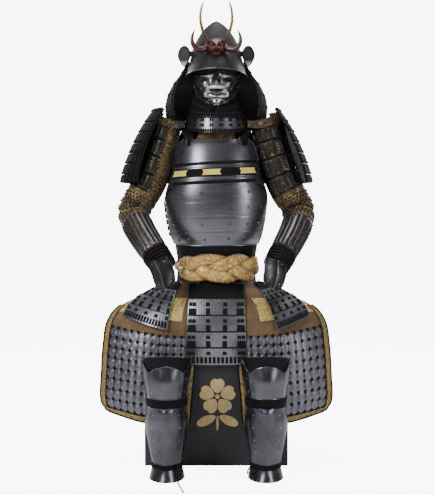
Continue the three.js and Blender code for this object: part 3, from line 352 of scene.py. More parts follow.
def brocade_cloth(name, ground, thread, shadow, scroll, amount, crease=0.0):
    material, tree, shader = finish_named(name, roughness=0.6, Sheen_Weight=0.15, Sheen_Roughness=0.5)
    spot = spot_of(tree)
    figure = noise(tree, spot, scroll, Detail=2.0, Distortion=2.2)
    bare = FIGURE_BAND * (1 - amount)
    motif = ranged(tree, maths(tree, "PINGPONG", figure, FIGURE_BAND), bare, bare + 0.02)
    worn = ranged(tree, noise(tree, spot, 14.0, Detail=4.0), 0.35, 0.68)
    cloth = blend(tree, motif, blend(tree, worn, shadow, ground), thread)
    # Painted shade: the cloth is multiplied darker, down to the crease factor, wherever a roll's surface
    # turns away from its outer crown.
    if crease:
        turn = maths(tree, "MULTIPLY", part_of(tree, spot_of(tree, "UV"), "X"), 2 * pi)
        depth = ranged(tree, maths(tree, "SINE", turn), 0.15, 0.9, crease)
        cloth = blend(tree, 1.0, cloth, depth, "MULTIPLY")
    join(tree, cloth, shader, "Base Color")
    join(tree, ranged(tree, motif, end=0.45), shader, "Metallic")
    join(tree, ranged(tree, motif, start=0.75, end=0.42), shader, "Roughness")
    warp = node(tree, "TexWave", {"bands_direction": "DIAGONAL"},
                {"Vector": spot, "Scale": WEAVE, "Distortion": 1.0})
    bump(tree, shader, maths(tree, "ADD", maths(tree, "MULTIPLY", warp, 0.4), motif), 0.35, 0.0009)
    return material


sleeve_brocade = brocade_cloth("brown_and_gold_sleeve_brocade", "#3f311b", "#83693a", "#171109", 24.0, 0.44)
yoke_brocade = brocade_cloth("dark_yoke_brocade", "#33261a", "#6d5834", "#120d08", 24.0, 0.35)
edge_brocade = brocade_cloth("gold_edging_brocade", "#6f5a30", "#ab9055", "#47381c", 46.0, 0.6)
belt_brocade = brocade_cloth("gold_braid_brocade", "#cda45b", "#ecca80", "#9a6a2e", 26.0, 0.42, crease=0.14)
brown_cloth = brocade_cloth("brown_hemp_cloth", "#75583a", "#84673f", "#513a24", 60.0, 0.25)
patch_brocade = brocade_cloth("gold_patch_brocade", "#9d8245", "#dcc375", "#6b5429", 50.0, 0.7)
print("finishes", len(bpy.data.materials))

# %% [markdown]
# Sheet metal and cloth are both surfaces with a thin wall. Each starts as a flat grid, and a
# shape function moves every corner of it into place, as a smith bends a flat plate. The
# faces are then turned away from the wearer, and the wall grows inwards.

# %% Grids, stamps and finished pieces
SLOPE_STEP = 0.003
MERGE_WITHIN = 1e-5
SHARP_ABOVE = 48


def wearer(p):
    return Vector((0, FORWARD * MM, p.z - 0.02))


def point_inside(inside, p):
    return inside(p) if callable(inside) else inside


def raised(shape, u, v, out, inside=wearer):
    step = SLOPE_STEP
    p = shape(u, v)
    across = shape(u + step, v) - shape(u - step, v)
    normal = across.cross(shape(u, v + step) - shape(u, v - step)).normalized()
    if normal.dot(p - point_inside(inside, p)) < 0:
        normal.negate()
    return p + normal * (out * MM)


def face_away(faces, bm, inside):
    lean = 0.0
    for face in faces:
        face.normal_update()
        middle = face.calc_center_median()
        lean += face.normal.dot(middle - point_inside(inside, middle)) * face.calc_area()
    if lean < 0:
        bmesh.ops.reverse_faces(bm, faces=faces)


def lay(bm, across, down, shape, inside=wearer, spread=(1.0, 1.0)):
    uv = bm.loops.layers.uv.verify()
    made = bmesh.ops.create_grid(bm, x_segments=across, y_segments=down, size=0.5)["verts"]
    spots = {corner: (corner.co.x + 0.5, corner.co.y + 0.5) for corner in made}
    faces = list({face for corner in made for face in corner.link_faces})
    for face in faces:
        for loop in face.loops:
            u, v = spots[loop.vert]
            loop[uv].uv = (u * spread[0], v * spread[1])
    for corner, (u, v) in spots.items():
        corner.co = shape(u, v)
    if inside is not None:
        face_away(faces, bm, inside)
    return faces


def form_of(name, bm):
    mesh = bpy.data.meshes.new(name)
    bm.to_mesh(mesh)
    bm.free()
    return mesh


def stamp(bm, form, move, spread=(1.0, 1.0)):
    uv = bm.loops.layers.uv.verify()
    corners, flats = len(bm.verts), len(bm.faces)
    bm.from_mesh(form)
    bm.verts.ensure_lookup_table()
    bm.faces.ensure_lookup_table()
    fresh = bm.faces[flats:]
    for face in fresh:
        for loop in face.loops:
            loop[uv].uv = ((loop.vert.co.x + 0.5) * spread[0], (loop.vert.co.y + 0.5) * spread[1])
    start = move(Vector((0, 0, 0.2)))
    turned = (move(Vector((0.2, 0, 0.2))) - start).dot(
        (move(Vector((0, 0.2, 0.2))) - start).cross(move(Vector((0, 0, 0.4))) - start)) < 0
    for corner in bm.verts[corners:]:
        corner.co = move(corner.co)
    if turned:
        bmesh.ops.reverse_faces(bm, faces=fresh)


def piece(name, bm, finish, slot, nodes=(), wall=0.0):
    bmesh.ops.remove_doubles(bm, verts=bm.verts, dist=MERGE_WITHIN)
    mesh = form_of(name, bm)
    mesh.materials.append(finish)
    made = bpy.data.objects.new(name, mesh)
    show(made)
    if wall:
        thick = made.modifiers.new("wall", "SOLIDIFY")
        thick.thickness = wall * MM
        thick.offset = -1
        shown = made.evaluated_get(bpy.context.evaluated_depsgraph_get())
        made.data = bpy.data.meshes.new_from_object(shown)
        made.modifiers.clear()
        made.data.name = name
    made.data.shade_smooth()
    made.data.set_sharp_from_angle(angle=radians(SHARP_ABOVE))
    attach(made, "root")
    if nodes:
        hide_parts(*nodes)
    triangles = sum(len(face.vertices) - 2 for face in made.data.polygons)
    print(f"{name}: {triangles} triangles")
    return made


def silk_piece(name, bm, nodes=(), wall=0.0):
    return piece(name, bm, black_silk, "lace", nodes, wall)


# %% [markdown]
# Cords, rims and braids are tubes along a line of points. Each ring of the tube is turned
# square to the line. The ends close to a point, so no tube is left open.

# %% Tubes along a line


def tube(bm, line, radius, sides=8, flat=1.0, away=None, turns=1.0):
    count = len(line)
    ahead = [(line[min(k + 1, count - 1)] - line[max(k - 1, 0)]).normalized() for k in range(count)]
    leans = []
    for k in range(count):
        lean = away(k) if away else (leans[-1] if leans else ahead[0].orthogonal())
        leans.append((lean - ahead[k] * lean.dot(ahead[k])).normalized())
    stations = [0] + list(range(count)) + [count - 1]

    def ring(u, v):
        row = round(v * (count + 1))
        k = stations[row]
        size = 0.0 if row in (0, count + 1) else (radius(k / (count - 1)) if callable(radius) else radius)
        angle = 2 * pi * u
        beside = ahead[k].cross(leans[k])
        return line[k] + (beside * cos(angle) + leans[k] * (sin(angle) * flat)) * (size * MM)

    faces = lay(bm, sides, count + 1, ring, inside=None, spread=(turns, count / 4))
    centre = line[count // 2]
    middle = [face for face in faces if (face.calc_center_median() - centre).length < 2 * max(
        (line[1] - line[0]).length, 0.002) + 0.03]
    out = 0.0
    for face in middle:
        face.normal_update()
        spot = face.calc_center_median()
        near = min(line, key=lambda p: (p - spot).length_squared)
        out += face.normal.dot(spot - near)
    if out < 0:
        bmesh.ops.reverse_faces(bm, faces=faces)


def curve_through(points, count):
    rows = [(k / (len(points) - 1), *p) for k, p in enumerate(points)]
    return [place(*(read(rows, c, k / (count - 1)) for c in (1, 2, 3))) for k in range(count)]


def rolled_edge(bm, shape, along, radius, out=0.0, count=40, inside=wearer):
    line = [raised(shape, *along(k / (count - 1)), out, inside) for k in range(count)]
    tube(bm, line, radius, 6)


def bead(bm, spot, radius, across=10):
    bmesh.ops.create_uvsphere(bm, u_segments=across, v_segments=8, radius=radius * MM,
                              matrix=Matrix.Translation(spot))


# %% [markdown]
# Small repeated parts are modelled once and stamped many times: a rounded pad for a lace, a
# round-edged bar for a splint, a domed rivet head, a knot of mail, and a scale with a soft
# crown. Each has a few dozen faces, because hundreds of them are used.

# %% Small forms


def block():
    bm = bmesh.new()
    bmesh.ops.create_cube(bm, size=1)
    bmesh.ops.translate(bm, verts=bm.verts, vec=(0, 0, 0.5))
    return bm


def rounded(name, bm, edges, offset, segments):
    bmesh.ops.bevel(bm, geom=edges, offset=offset, offset_type="OFFSET", segments=segments, profile=0.5,
                    affect="EDGES", material=-1)
    return form_of(name, bm)


def ball(name, across, down):
    bm = bmesh.new()
    bmesh.ops.create_uvsphere(bm, u_segments=across, v_segments=down, radius=0.5)
    return form_of(name, bm)


def on_top(edge):
    return min(corner.co.z for corner in edge.verts) > 0.9


def runs_along(edge):
    return abs(edge.verts[0].co.y - edge.verts[1].co.y)


bm = block()
pad_form = rounded("pad_form", bm, [edge for edge in bm.edges if on_top(edge)], 0.22, 2)
rivet_form = ball("rivet_form", 10, 6)
mail_form = ball("mail_knot_form", 8, 5)

bm = block()
lengthwise = [edge for edge in bm.edges if runs_along(edge) > 0.5]
bmesh.ops.subdivide_edges(bm, edges=lengthwise, cuts=5, use_grid_fill=True)
rim = [edge for edge in bm.edges if on_top(edge)
       and (runs_along(edge) > 0.1 or max(abs(corner.co.y) for corner in edge.verts) > 0.49)]
splint_form = rounded("splint_form", bm, rim, 0.3, 3)

bm = block()
tops = [face for face in bm.faces if face.normal.z > 0.9]
bmesh.ops.inset_region(bm, faces=tops, thickness=0.14, depth=0.35)
scale_form = form_of("scale_form", bm)


def put_on(shape, u, v, wide, long, low, high, inside=wearer):
    def move(p):
        return raised(shape, u + p.x * wide, v + p.y * long, mix(low, high, p.z), inside)
    return move


def rivet_at(bm, shape, u, v, size, inside=wearer, out=0.0):
    base = raised(shape, u, v, out, inside)
    tip = raised(shape, u, v, out + 10, inside)
    up = (tip - base).normalized()
    beside = up.orthogonal().normalized()
    ahead = up.cross(beside)
    stamp(bm, rivet_form, lambda p: base + (beside * p.x + ahead * p.y + up * (p.z * 0.7)) * (size * MM))


def mail_at(bm, spot, size):
    stamp(bm, mail_form, lambda p: spot + p * (size * MM))


# %% [markdown]
# The loose ends of the shin ties come first, because the way they lie decides how far the
# part spreads. They are thin braided cord: one trails forward on the floor, the other is a
# short end at the right shin's ankle. Each is whipped with a small knot.

# %% Tie cords
TIE_RADIUS = 2.6
TIES = {
    "l": ((-131, -403, 46), (-130, -414, 34), (-128, -430, 16), (-126, -448, 4.5), (-121, -480, 3.2),
          (-113, -520, 3.2), (-106, -556, 3.2)),
    "r": ((122, -390, 49), (114, -394, 44), (107, -396, 35), (104, -396, 22)),
}
for tag, points in TIES.items():
    line = curve_through(points, 24)
    path = [list(p) for p in line]
    length = sum((b - a).length for a, b in zip(line, line[1:]))
    bm = bmesh.new()
    tube(bm, line, TIE_RADIUS, 10, turns=2.0)
    tie = silk_piece(f"tie_cord_{tag}_braid", bm, [f"tie_cord_{tag}"])
    bm = bmesh.new()
    bead(bm, line[-1] + Vector((0, 0, 0.0006)), 3.6, 12)
    knot = silk_piece(f"tie_knot_{tag}", bm)
    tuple(line[0])
    print(f"tie cord {tag}: {length * 1000:.0f} mm")

# %% [markdown]
# The helmet bowl is raised from one sheet to a blunt point. The visor springs from its
# front and ends in a rolled rim, which stiffens the edge and is worn bright. An oval plate
# turns back at each side, with a raised rim and a grained face, and narrows to a foot
# lit by a painted highlight: its colour turns light grey towards the bottom.

# %% Helmet bowl and visor
BOWL_FOOT, BOWL_TOP = 1408, 1597
VISOR_HALF_TURN = radians(76)
BOWL = ((1408, 97, 119), (1440, 95.5, 117), (1470, 93, 112), (1510, 80, 96), (1546, 59, 70), (1571, 39, 45),
        (1588, 18, 20), (1597, 3, 3.2))


def bowl(u, v):
    angle = 2 * pi * u
    z = mix(BOWL_FOOT, BOWL_TOP, v)
    shut = 0.0 if v > 0.999 else 1.0
    return place(shut * read(BOWL, 1, z) * sin(angle), -shut * read(BOWL, 2, z) * cos(angle), z)


bm = bmesh.new()
lay(bm, 64, 30, bowl)
rolled_edge(bm, bowl, lambda t: (t, 0.004), 2.2, count=65)
bowl_shell = piece("helmet_bowl_iron", bm, russet_iron, "dark", ["helmet_bowl"], wall=2.0)
print("bowl height", round(bowl_shell.dimensions.z, 3))


def visor(u, v):
    side = 2 * u - 1
    angle = VISOR_HALF_TURN * side
    out = sin(clamp(v, -0.1, 1.0) * pi / 2)
    return place(mix(96, 115, v) * sin(angle),
                 -mix(115, 172, out * 0.55 + v * 0.45) * cos(angle) - 5.0 * bell(side, 0.05),
                 mix(1473 - 16 * side * side, 1400 - 13 * side * side, v))


bm = bmesh.new()
lay(bm, 48, 16, visor)
rolled_edge(bm, visor, lambda t: (t, 0.995), 2.3, out=0.6, count=49)
for side in (0.1, 0.5, 0.9):
    rivet_at(bm, visor, side, 0.12, 6)
piece("helmet_visor_iron", bm, visor_iron, "dark", ["helmet_visor"], wall=2.0)
bm = bmesh.new()
rolled_edge(bm, visor, lambda t: (t, 0.985), 1.4, out=2.6, count=49)
piece("helmet_visor_rim", bm, bright_steel, "dark")

# Painted highlight: below 1.424 m the ear plates turn light grey, standing for the reflection on their dished
# foot.
ear_iron = graded_copy(russet_iron, "russet_iron_painted_highlight_at_the_foot", 1.424, 1.449, "#d9d9d2")[0]
EAR_HALF_WIDE, EAR_HALF_HIGH = 25, 38
EAR_TURN = radians(22)
EAR_SHELL = ((0, 0.0, -1), (0.1, 0.97, -1), (0.3, 1.0, 1.6), (0.5, 0.96, 6.2), (0.66, 0.86, 6.4),
             (0.8, 0.8, 3.4), (1, 0.0, 5.5))
for tag, side in SIDES:
    def ear(u, reach, lift):
        angle = 2 * pi * u
        z = EAR_HALF_HIGH * reach * sin(angle)
        x = EAR_HALF_WIDE * reach * cos(angle) * (1 - 0.42 * clamp(-z / EAR_HALF_HIGH))
        return place(side * (117 + x * cos(EAR_TURN) + lift * sin(EAR_TURN)),
                     -27 + x * sin(EAR_TURN) - lift * cos(EAR_TURN), 1464 + z)

    def ear_shell(u, v):
        return ear(u, clamp(read(EAR_SHELL, 1, v), 0.0, 1.02) if 0 < v < 1 else 0.0, read(EAR_SHELL, 2, v))

    bm = bmesh.new()
    lay(bm, 36, 20, ear_shell, inside=ear(0, 0, 2.0))
    stamp(bm, pad_form, lambda p: place(side * (92 + p.x * 28), -30 - p.z * 4, 1472 + p.y * 20))
    piece(f"helmet_ear_{tag}_plate", bm, ear_iron, "dark", [f"helmet_ear_{tag}"])

# %% [markdown]
# A lame is a long narrow plate. Lames hang from one another on silk laces, each one lapping
# over the foot of the plate above. They are laid one by one, the tassets' with a scalloped
# upper edge, and then a rounded pad is stamped for every run of lace.

# %% Laced lames
SCALLOP = 0.05
FLUTE_HIGH = 0.35


def lame_row(bm, shape, count, row, across, step, flutes=0, inside=wearer, lap=0.1):
    def plate(u, v):
        wave = abs(sin(pi * u * flutes))
        top = (row - (lap if row else 0.0) - SCALLOP * wave ** 0.7 * (1 - v)) / count
        at = mix(top, (row + 1) / count, v)
        return raised(shape, u, at, step * (1 - v * 0.9) + FLUTE_HIGH * wave ** 2, inside)
    lay(bm, across, 4, plate, inside)


def lace_runs(bm, shape, count, row, columns, wide, start, end, low, high, inside=wearer, step=4.0):
    middle, long = (start + end) / 2, end - start
    lift = step * (1 - middle)
    for u in columns:
        lace = put_on(shape, u, (row + middle) / count, wide, long / count, low + lift, high + lift, inside)
        stamp(bm, pad_form, lace, (1.0, long * 3))


def spaced(number, low=0.0, high=1.0):
    return [mix(low, high, (k + 0.5) / number) for k in range(number)]


NECK_LAMES, NECK_LACES = 5, 44
NECK_TOP, NECK_FOOT = 1446, 1240
NECK = ((1240, 179, 198, 124), (1280, 181, 198, 122), (1313, 175, 191, 120), (1358, 154, 174, 114),
        (1393, 128, 150, 106), (1446, 97.6, 119, 96))


def neck(u, v):
    z = mix(NECK_TOP, NECK_FOOT, v)
    angle = radians(read(NECK, 3, z)) * (2 * u - 1)
    return place(read(NECK, 1, z) * sin(angle), read(NECK, 2, z) * cos(angle), z)


iron = bmesh.new()
silk = bmesh.new()
for row in range(NECK_LAMES):
    lame_row(iron, neck, NECK_LAMES, row, 56, 4.6)
    lace_runs(silk, neck, NECK_LAMES, row, spaced(NECK_LACES), 0.0185, 0.2, 0.98, 0.4, 5.6, step=4.2)
    lace_runs(silk, neck, NECK_LAMES, row, spaced(NECK_LACES), 0.0165, -0.06, 0.14, 0.2, 4.6, step=4.4)
piece("neck_guard_lames", iron, russet_iron, "dark", wall=2.0)
silk_piece("neck_guard_lacing", silk, ["neck_guard"])

# %% [markdown]
# The crest is a carved wooden demon face under dark red lacquer. The carving is a disc whose
# corners are pushed out where the brow, nose, cheeks and chin swell. Two thick horns curl up
# beside it, and two long slender ones rise above the bowl, gilt towards their tips.

# %% Crest


def crest(u, v):
    angle = 2 * pi * u
    reach = 1 - v
    rise, run = sin(angle), cos(angle)
    narrow = 1 + 0.4 * rise if rise < 0 else 1 + 0.06 * sin(2 * angle) ** 2
    wide = copysign(abs(run) ** (0.7 if rise > 0 else 1.0), run)
    x, z = 38 * reach * wide * narrow, 37 * reach * rise
    side = abs(x)
    relief = (10 * bell(side - 16, 9) * bell(z - 20, 8) + 20 * bell(x, 9) * bell(z + 2, 15)
              + 6 * bell(side - 8, 5) * bell(z + 6, 6) + 8 * bell(side - 24, 8) * bell(z + 6, 9)
              - 8 * bell(side - 16, 6) * bell(z - 8, 5) - 7 * bell(x, 14) * bell(z + 20, 3.5)
              + 9 * bell(x, 11) * bell(z + 31, 7)
              + 1.2 * sin(z * 0.9) * bell(side - 18, 8) * bell(z - 24, 10))
    return place(x, -150 + 34 * reach ** 3 - relief * (1 - reach ** 4), 1480 + z)


def crest_side(u, v):
    p = crest(u, 0)
    middle = Vector((0, p.y, 1480 * MM))
    back = Vector((p.x * 0.9, (FORWARD - 96) * MM, p.z - 0.008))
    return p.lerp(back, v) if v < 0.999 else middle.lerp(back, 1.0)


bm = bmesh.new()
lay(bm, 56, 24, crest, inside=place(0, -110, 1480))
lay(bm, 56, 3, crest_side, inside=place(0, -120, 1476))
for side in (1, -1):
    for x, z, size in ((15, 1488, 9), (8, 1462, 5)):
        bead(bm, place(side * x, -152, z), size / 2)
    fang = [place(side * (9 + 0.3 * k), -158 - k * 0.5, 1460 - 2.5 * k) for k in range(5)]
    tube(bm, fang, lambda t: mix(2.2, 0.4, t), 6)
piece("crest_mask_carving", bm, red_lacquer, "lacquer", ["crest_mask"])

HORN = ((30, -124, 1482, 9.5), (48, -131, 1473, 10.5), (68, -138, 1474, 10), (82, -142, 1488, 8.5),
        (86, -143, 1508, 6.5), (82, -142, 1527, 4), (75, -140, 1542, 1.2))
BLADE = ((29, -128, 1492, 6.0), (38, -136, 1514, 6.0), (49, -142, 1540, 5.8), (56, -147, 1574, 5.4),
         (54, -151, 1608, 4.6), (46, -154, 1634, 2.6))

blade_gilt, tree, shader, rise = graded_copy(gilt, "gilt_over_red_lacquer_blade", 1.525, 1.58, "#3a120c",
                                             "#94794a")
join(tree, maths(tree, "MULTIPLY", rise, 0.85), shader, "Metallic")
for tag, side in SIDES:
    for name, rows, finish, slot in (("crest_horn", HORN, red_lacquer, "lacquer"),
                                     ("crest_blade", BLADE, blade_gilt, "gold")):
        line = curve_through([(side * x, y, z) for x, y, z, size in rows], 36)
        sizes = [(k / (len(rows) - 1), row[3]) for k, row in enumerate(rows)]
        bm = bmesh.new()
        tube(bm, line, lambda t: read(sizes, 1, t), 14, 0.95)
        piece(f"{name}_{tag}_carved", bm, finish, slot, [f"{name}_{tag}"])

# %% [markdown]
# The face mask is one piece of beaten iron from brow to chin. Its relief is a sum of smooth
# swellings on a curved shield: nose bridge and nostrils, cheeks, lips and chin. The moustache
# bar over the mouth is silvered. The mouth is not cut through: a black strip on the mask is
# painted shade standing for the dark slit. Two silk cords run down from the cheeks and are
# tied under the chin.

# %% Face mask
MASK_HALF_TURN = radians(86)
MASK = ((1280, 50, 92), (1300, 62, 100), (1325, 74, 106), (1355, 83, 108), (1395, 85, 102))


def mask_shield(u, v):
    side = 2 * u - 1
    z = mix(1384 + 8 * bell(side, 0.16) + 10 * side * side, 1280 + 62 * side * side, v)
    angle = MASK_HALF_TURN * side
    return place(read(MASK, 1, z) * sin(angle), -read(MASK, 2, z) * cos(angle) - 4, z)


def mask_swell(p, u, v):
    side, z = abs(p.x / MM), p.z / MM
    edge = max(bell(v, 0.03), bell(1 - v, 0.03), bell(u, 0.012), bell(1 - u, 0.012))
    return (30 * bell(side, 9) * bell(z - 1358, 17) + 10 * bell(side - 12, 5) * bell(z - 1352, 6)
            + 13 * bell(side, 7) * bell(z - 1386, 16) + 9 * bell(side - 42, 16) * bell(z - 1357, 12)
            - 5 * bell(side - 22, 5) * bell(z - 1350, 9) + 5 * bell(side - 30, 6) * bell(z - 1336, 6)
            + 6 * bell(side / 1.6, 18) * bell(z - 1338, 7) - 6 * bell(side / 1.6, 17) * bell(z - 1323, 3.6)
            + 9 * bell(side / 1.3, 17) * bell(z - 1310, 7)
            + 8 * bell(side, 17) * bell(z - 1290, 9) - 4 * bell(side - 52, 4) * bell(z - 1335, 18)
            - 3 * bell(side - 4.5, 2.5) * bell(z - 1345, 4) + 11 * bell(side - 38, 13) * bell(z - 1318, 17)
            + 2.5 * edge)


def mask(u, v):
    return raised(mask_shield, u, v, mask_swell(mask_shield(u, v), u, v))


bm = bmesh.new()
lay(bm, 110, 76, mask)
for side in (0.06, 0.94):
    for v in (0.25, 0.6):
        rivet_at(bm, mask_shield, side, v, 6, out=1.0)
piece("face_mask_iron", bm, mask_iron, "dark", ["face_mask"], wall=3.0)


def lip_line(count, half, depth, height):
    spread = [half * (2 * k / count - 1) for k in range(count + 1)]
    return [place(x, -depth + 0.02 * x * x, height) for x in spread]


def thinning(middle, loss):
    return lambda t: middle * (1 - loss * abs(2 * t - 1) ** 4)


bm = bmesh.new()
tube(bm, lip_line(32, 31, 131, 1341), thinning(6.4, 0.4), 12, 0.7, away=lambda k: Vector((0, -1, 0.1)))
piece("mask_lip_silver", bm, silvered, "silver", ["mask_lip"])
# Painted shade: a black strip laid on the mask stands for the shaded mouth opening.
bm = bmesh.new()
tube(bm, lip_line(24, 25, 124, 1331), thinning(4.0, 0.5), 8, 0.5, away=lambda k: Vector((0, -1, 0)))
silk_piece("mask_mouth_painted_shade_strip", bm)
bm = bmesh.new()
for side in (-1, 1):
    cord_line = []
    for k in range(20):
        t = k / 19
        u = 0.5 + side * mix(0.44, 0.06, t)
        cord_line.append(raised(mask_shield, u, mix(0.2, 1.0, t ** 0.8), 4.0 + 6 * t))
    tube(bm, cord_line, 3.0, 8, turns=2.0)
knot = place(-24, -118, 1270)
for x, z in ((-4, 0), (5, 2), (0, -6)):
    bead(bm, knot + Vector((x * MM, -0.004, z * MM)), 6)
silk_piece("mask_chin_cords", bm)

# %% [markdown]
# The breastplate and backplate are hammered to a rounded trunk, squarer than an oval. Three
# level lines below the chest bands are the joins of riveted plates. The upper edge and the
# lower edge are rolled outwards.

# %% Cuirass
SQUARENESS = 2.4
CUIRASS_FOOT = 773
TORSO = ((620, 152, 152, 122), (700, 146, 138, 116), (773, 155, 142, 114), (800, 167, 149, 119),
         (855, 180, 158, 125), (905, 187, 163, 128), (955, 190, 164, 128), (1005, 177, 160, 124),
         (1050, 162, 152, 118), (1100, 153, 139, 110), (1140, 145, 124, 98), (1168, 126, 108, 84),
         (1195, 112, 100, 78))
BREAST_TOP = ((0, 1151), (0.3, 1155), (0.5, 1166), (0.62, 1168), (0.75, 1146), (0.86, 1104), (1, 1048))


def torso(angle, z, extra=0.0):
    power = 2 / SQUARENESS
    s, c = sin(angle), cos(angle)
    deep = read(TORSO, 2 if c > 0 else 3, z) + extra
    return place((read(TORSO, 1, z) + extra) * copysign(abs(s) ** power, s),
                 -deep * copysign(abs(c) ** power, c), z)


def breast_top(side):
    return read(BREAST_TOP, 1, clamp(abs(side))) + 5 * side


def breast_foot(side):
    return CUIRASS_FOOT + 8 * side * side


def breast(u, v):
    side = clamp(2 * u - 1, -1.01, 1.01)
    z = mix(breast_top(side), breast_foot(side), v)
    return torso(side * pi / 2, z)


def back(u, v):
    side = clamp(2 * u - 1, -1.01, 1.01)
    z = mix(breast_top(abs(side)), breast_foot(side), v)
    return torso(pi + side * pi / 2, z) + Vector((0, 0.0004, 0))


SEAMS = (933, 878, 826)


def joined_plates(shape):
    def formed(u, v):
        z = shape(u, v).z / MM - 7 * sin((2 * u - 1) * 1.4)
        dip = sum(-0.6 * bell(z - seam, 1.3) for seam in SEAMS)
        steps = sum(0.3 * clamp((seam - z) / 3) for seam in SEAMS)
        return raised(shape, u, v, dip + steps - 0.9)
    return formed


for name, shape in (("cuirass_front", breast), ("cuirass_back", back)):
    bm = bmesh.new()
    lay(bm, 72, 150, joined_plates(shape))
    rolled_edge(bm, shape, lambda t: (mix(0.01, 0.99, t), 0.002), 2.0, out=0.3, count=61)
    rolled_edge(bm, shape, lambda t: (mix(0.01, 0.99, t), 0.996), 1.8, out=0.6, count=61)
    piece(f"{name}_steel", bm, steel, "steel", [name], wall=1.6)

RIVET_ROWS = ((965, (-0.4, -0.14, 0.12, 0.38)), (908, (-0.42, -0.15, 0.12, 0.37, 0.64)),
              (852, (-0.62, -0.4, -0.14, 0.13, 0.38, 0.6)), (799, (-0.58, -0.37, -0.12, 0.13, 0.36, 0.58)))


def at_height(side, z):
    top, low = breast_top(side), breast_foot(side)
    return (side + 1) / 2, (z + 7 * sin(side * 1.4) - top) / (low - top)


bm = bmesh.new()
for z, sides in RIVET_ROWS:
    for side in sides:
        rivet_at(bm, breast, *at_height(side, z), 11.5, out=-0.8)
        if abs(side) < 0.66:
            rivet_at(bm, back, *at_height(side, z), 11.5, out=-0.8)
piece("cuirass_rivets", bm, splint_steel, "steel")

bm = bmesh.new()
for side, z in ((-0.8, 968), (0.74, 976)):
    u, v = at_height(side, z)
    stamp(bm, pad_form, put_on(breast, u, v, 0.12, 0.024, -0.4, 2.2))
for k in range(6):
    u, v = at_height(-0.965, 930 - 22 * k)
    stamp(bm, pad_form, put_on(breast, u, v, 0.022, 0.05, -0.4, 5.0))
silk_piece("cuirass_side_ties", bm)

# %% [markdown]
# Three laced bands cross the chest. The broad middle one is black lacing held at three places
# by crossed pale yellow laces, a common knot on old armours. Thin bright ridges of steel run
# between the bands.

# %% Chest bands
MAIN_START, MAIN_END = -66, 59
BANDS = (("chest_band_top", 1071, 5, -70, 64, 1.6), ("chest_band_main", 1038, 15, MAIN_START, MAIN_END, 3.0),
         ("chest_band_low", 1003, 6, -58, 51, 1.6))


def band_shape(z, half, start, end):
    def shape(u, v):
        angle = radians(mix(start, end, u))
        return torso(angle, z - half * (2 * v - 1) + 9 * sin(angle))
    return shape


for name, z, half, start, end, stands in BANDS:
    shape = band_shape(z, half, start, end)
    bm = bmesh.new()
    runs = 2 if half < 10 else 4
    for k in range(runs):
        def ply(u, v, k=k):
            swell = arch(v, 0.5)
            return raised(shape, u, (k + v) / runs, mix(0.2, stands, swell))
        lay(bm, 70, 6, ply, spread=(40.0, 1.0))
    silk_piece(f"{name}_lacing", bm, [name], wall=0.6)

bm = bmesh.new()
main = band_shape(1038, 15, MAIN_START, MAIN_END)
main_turn = MAIN_END - MAIN_START
wide = 8 / main_turn
for centre, half_wide, crosses in ((-48, 14.5, 7), (-4.8, 9.4, 5), (40.5, 15, 7)):
    middle = (centre - MAIN_START) / main_turn
    for k in range(crosses):
        at = middle + (half_wide / main_turn - 0.03) * (2 * k / (crosses - 1) - 1)
        for lean in (-1, 1):
            def cross(p, at=at, lean=lean):
                slant = (p.x * 0.34 + lean * p.y * 0.42) * wide
                return raised(main, at + slant, 0.5 + p.y * 0.66, 2.6 + 1.5 * p.z)
            stamp(bm, splint_form, cross, (1.0, 3.0))
piece("chest_band_yellow_knots", bm, yellow_silk, "belt")

bm = bmesh.new()
for z, start, end in ((1058.5, -68, 62), (1017, -61, 55)):
    ridge_shape = band_shape(z, 2, start, end)
    rolled_edge(bm, ridge_shape, lambda t: (t, 0.5), 2.0, out=0.2, count=50)
piece("chest_ridges", bm, bright_steel, "steel")

# %% [markdown]
# Padded straps pass over the shoulders from breastplate to backplate and are tied with small
# toggles. They are stuffed cloth, so their section is a flat oval that swells between edges.

# %% Shoulder straps
STRAP = ((-1, -108, 1136), (-0.72, -92, 1166), (-0.4, -54, 1197), (0, 0, 1210), (0.4, 44, 1197),
         (0.72, 72, 1166), (1, 84, 1136))


def torso_depth(x, z, side):
    ratio = clamp(abs(x) / read(TORSO, 1, z), 0, 0.98)
    return read(TORSO, 2 if side < 0 else 3, z) * (1 - ratio ** SQUARENESS) ** (1 / SQUARENESS)


def strap_of(side):
    def strap(u, v):
        along = 2 * v - 1
        z = read(STRAP, 2, along)
        x = mix(64 + 30 * clamp((-along - 0.45) / 0.4), 110 + 22 * (1 - along * along), u)
        near = ease((abs(along) - 0.45) / 0.4)
        on_body = copysign(torso_depth(x, z, along) + 4.5, along)
        return place(side * x, mix(read(STRAP, 1, along), on_body, near), z)
    return strap


for tag, side in SIDES:
    strap = strap_of(side)
    under = place(side * 98, 0, 1120)
    bm = bmesh.new()
    for k in range(5):
        def quilt(u, v, k=k):
            swell = arch(u, 0.6)
            return raised(strap, (k + u) / 5, v, mix(-4.6, 0.0, swell), under)
        lay(bm, 6, 44, quilt, under, (1.0, 12.0))
    made = silk_piece(f"shoulder_strap_{tag}_padding", bm, [f"shoulder_strap_{tag}"], wall=1.4)
    bm = bmesh.new()
    x, z = (-107, 1146) if side < 0 else (82, 1152)
    toggle = place(x, -torso_depth(x, z, -1) - 6, z)
    line = [toggle + Vector((0, 0, MM * (k - 6) * 2.2)) for k in range(13)]
    tube(bm, line, lambda t: 5.2 * sqrt(clamp(1 - (2 * t - 1) ** 4, 0.08, 1)), 12)
    piece(f"strap_toggle_{tag}", bm, chest_lacquer, "dark")

# %% [markdown]
# The gorget is three lames round the neck with their laces in pairs. A strip of brown brocade
# collar shows inside the breastplate's neckline, and a laced throat guard hangs from the mask.

# %% Gorget, collar and throat guard


def gorget(u, v):
    angle = 2 * pi * u
    deep = mix(114, 138, v) if cos(angle) > 0 else mix(96, 104, v)
    x, y = mix(106, 115, v) * sin(angle), -deep * cos(angle)
    return place(x, y, mix(1237, 1178 + 32.4 * bell(y, 72), v))


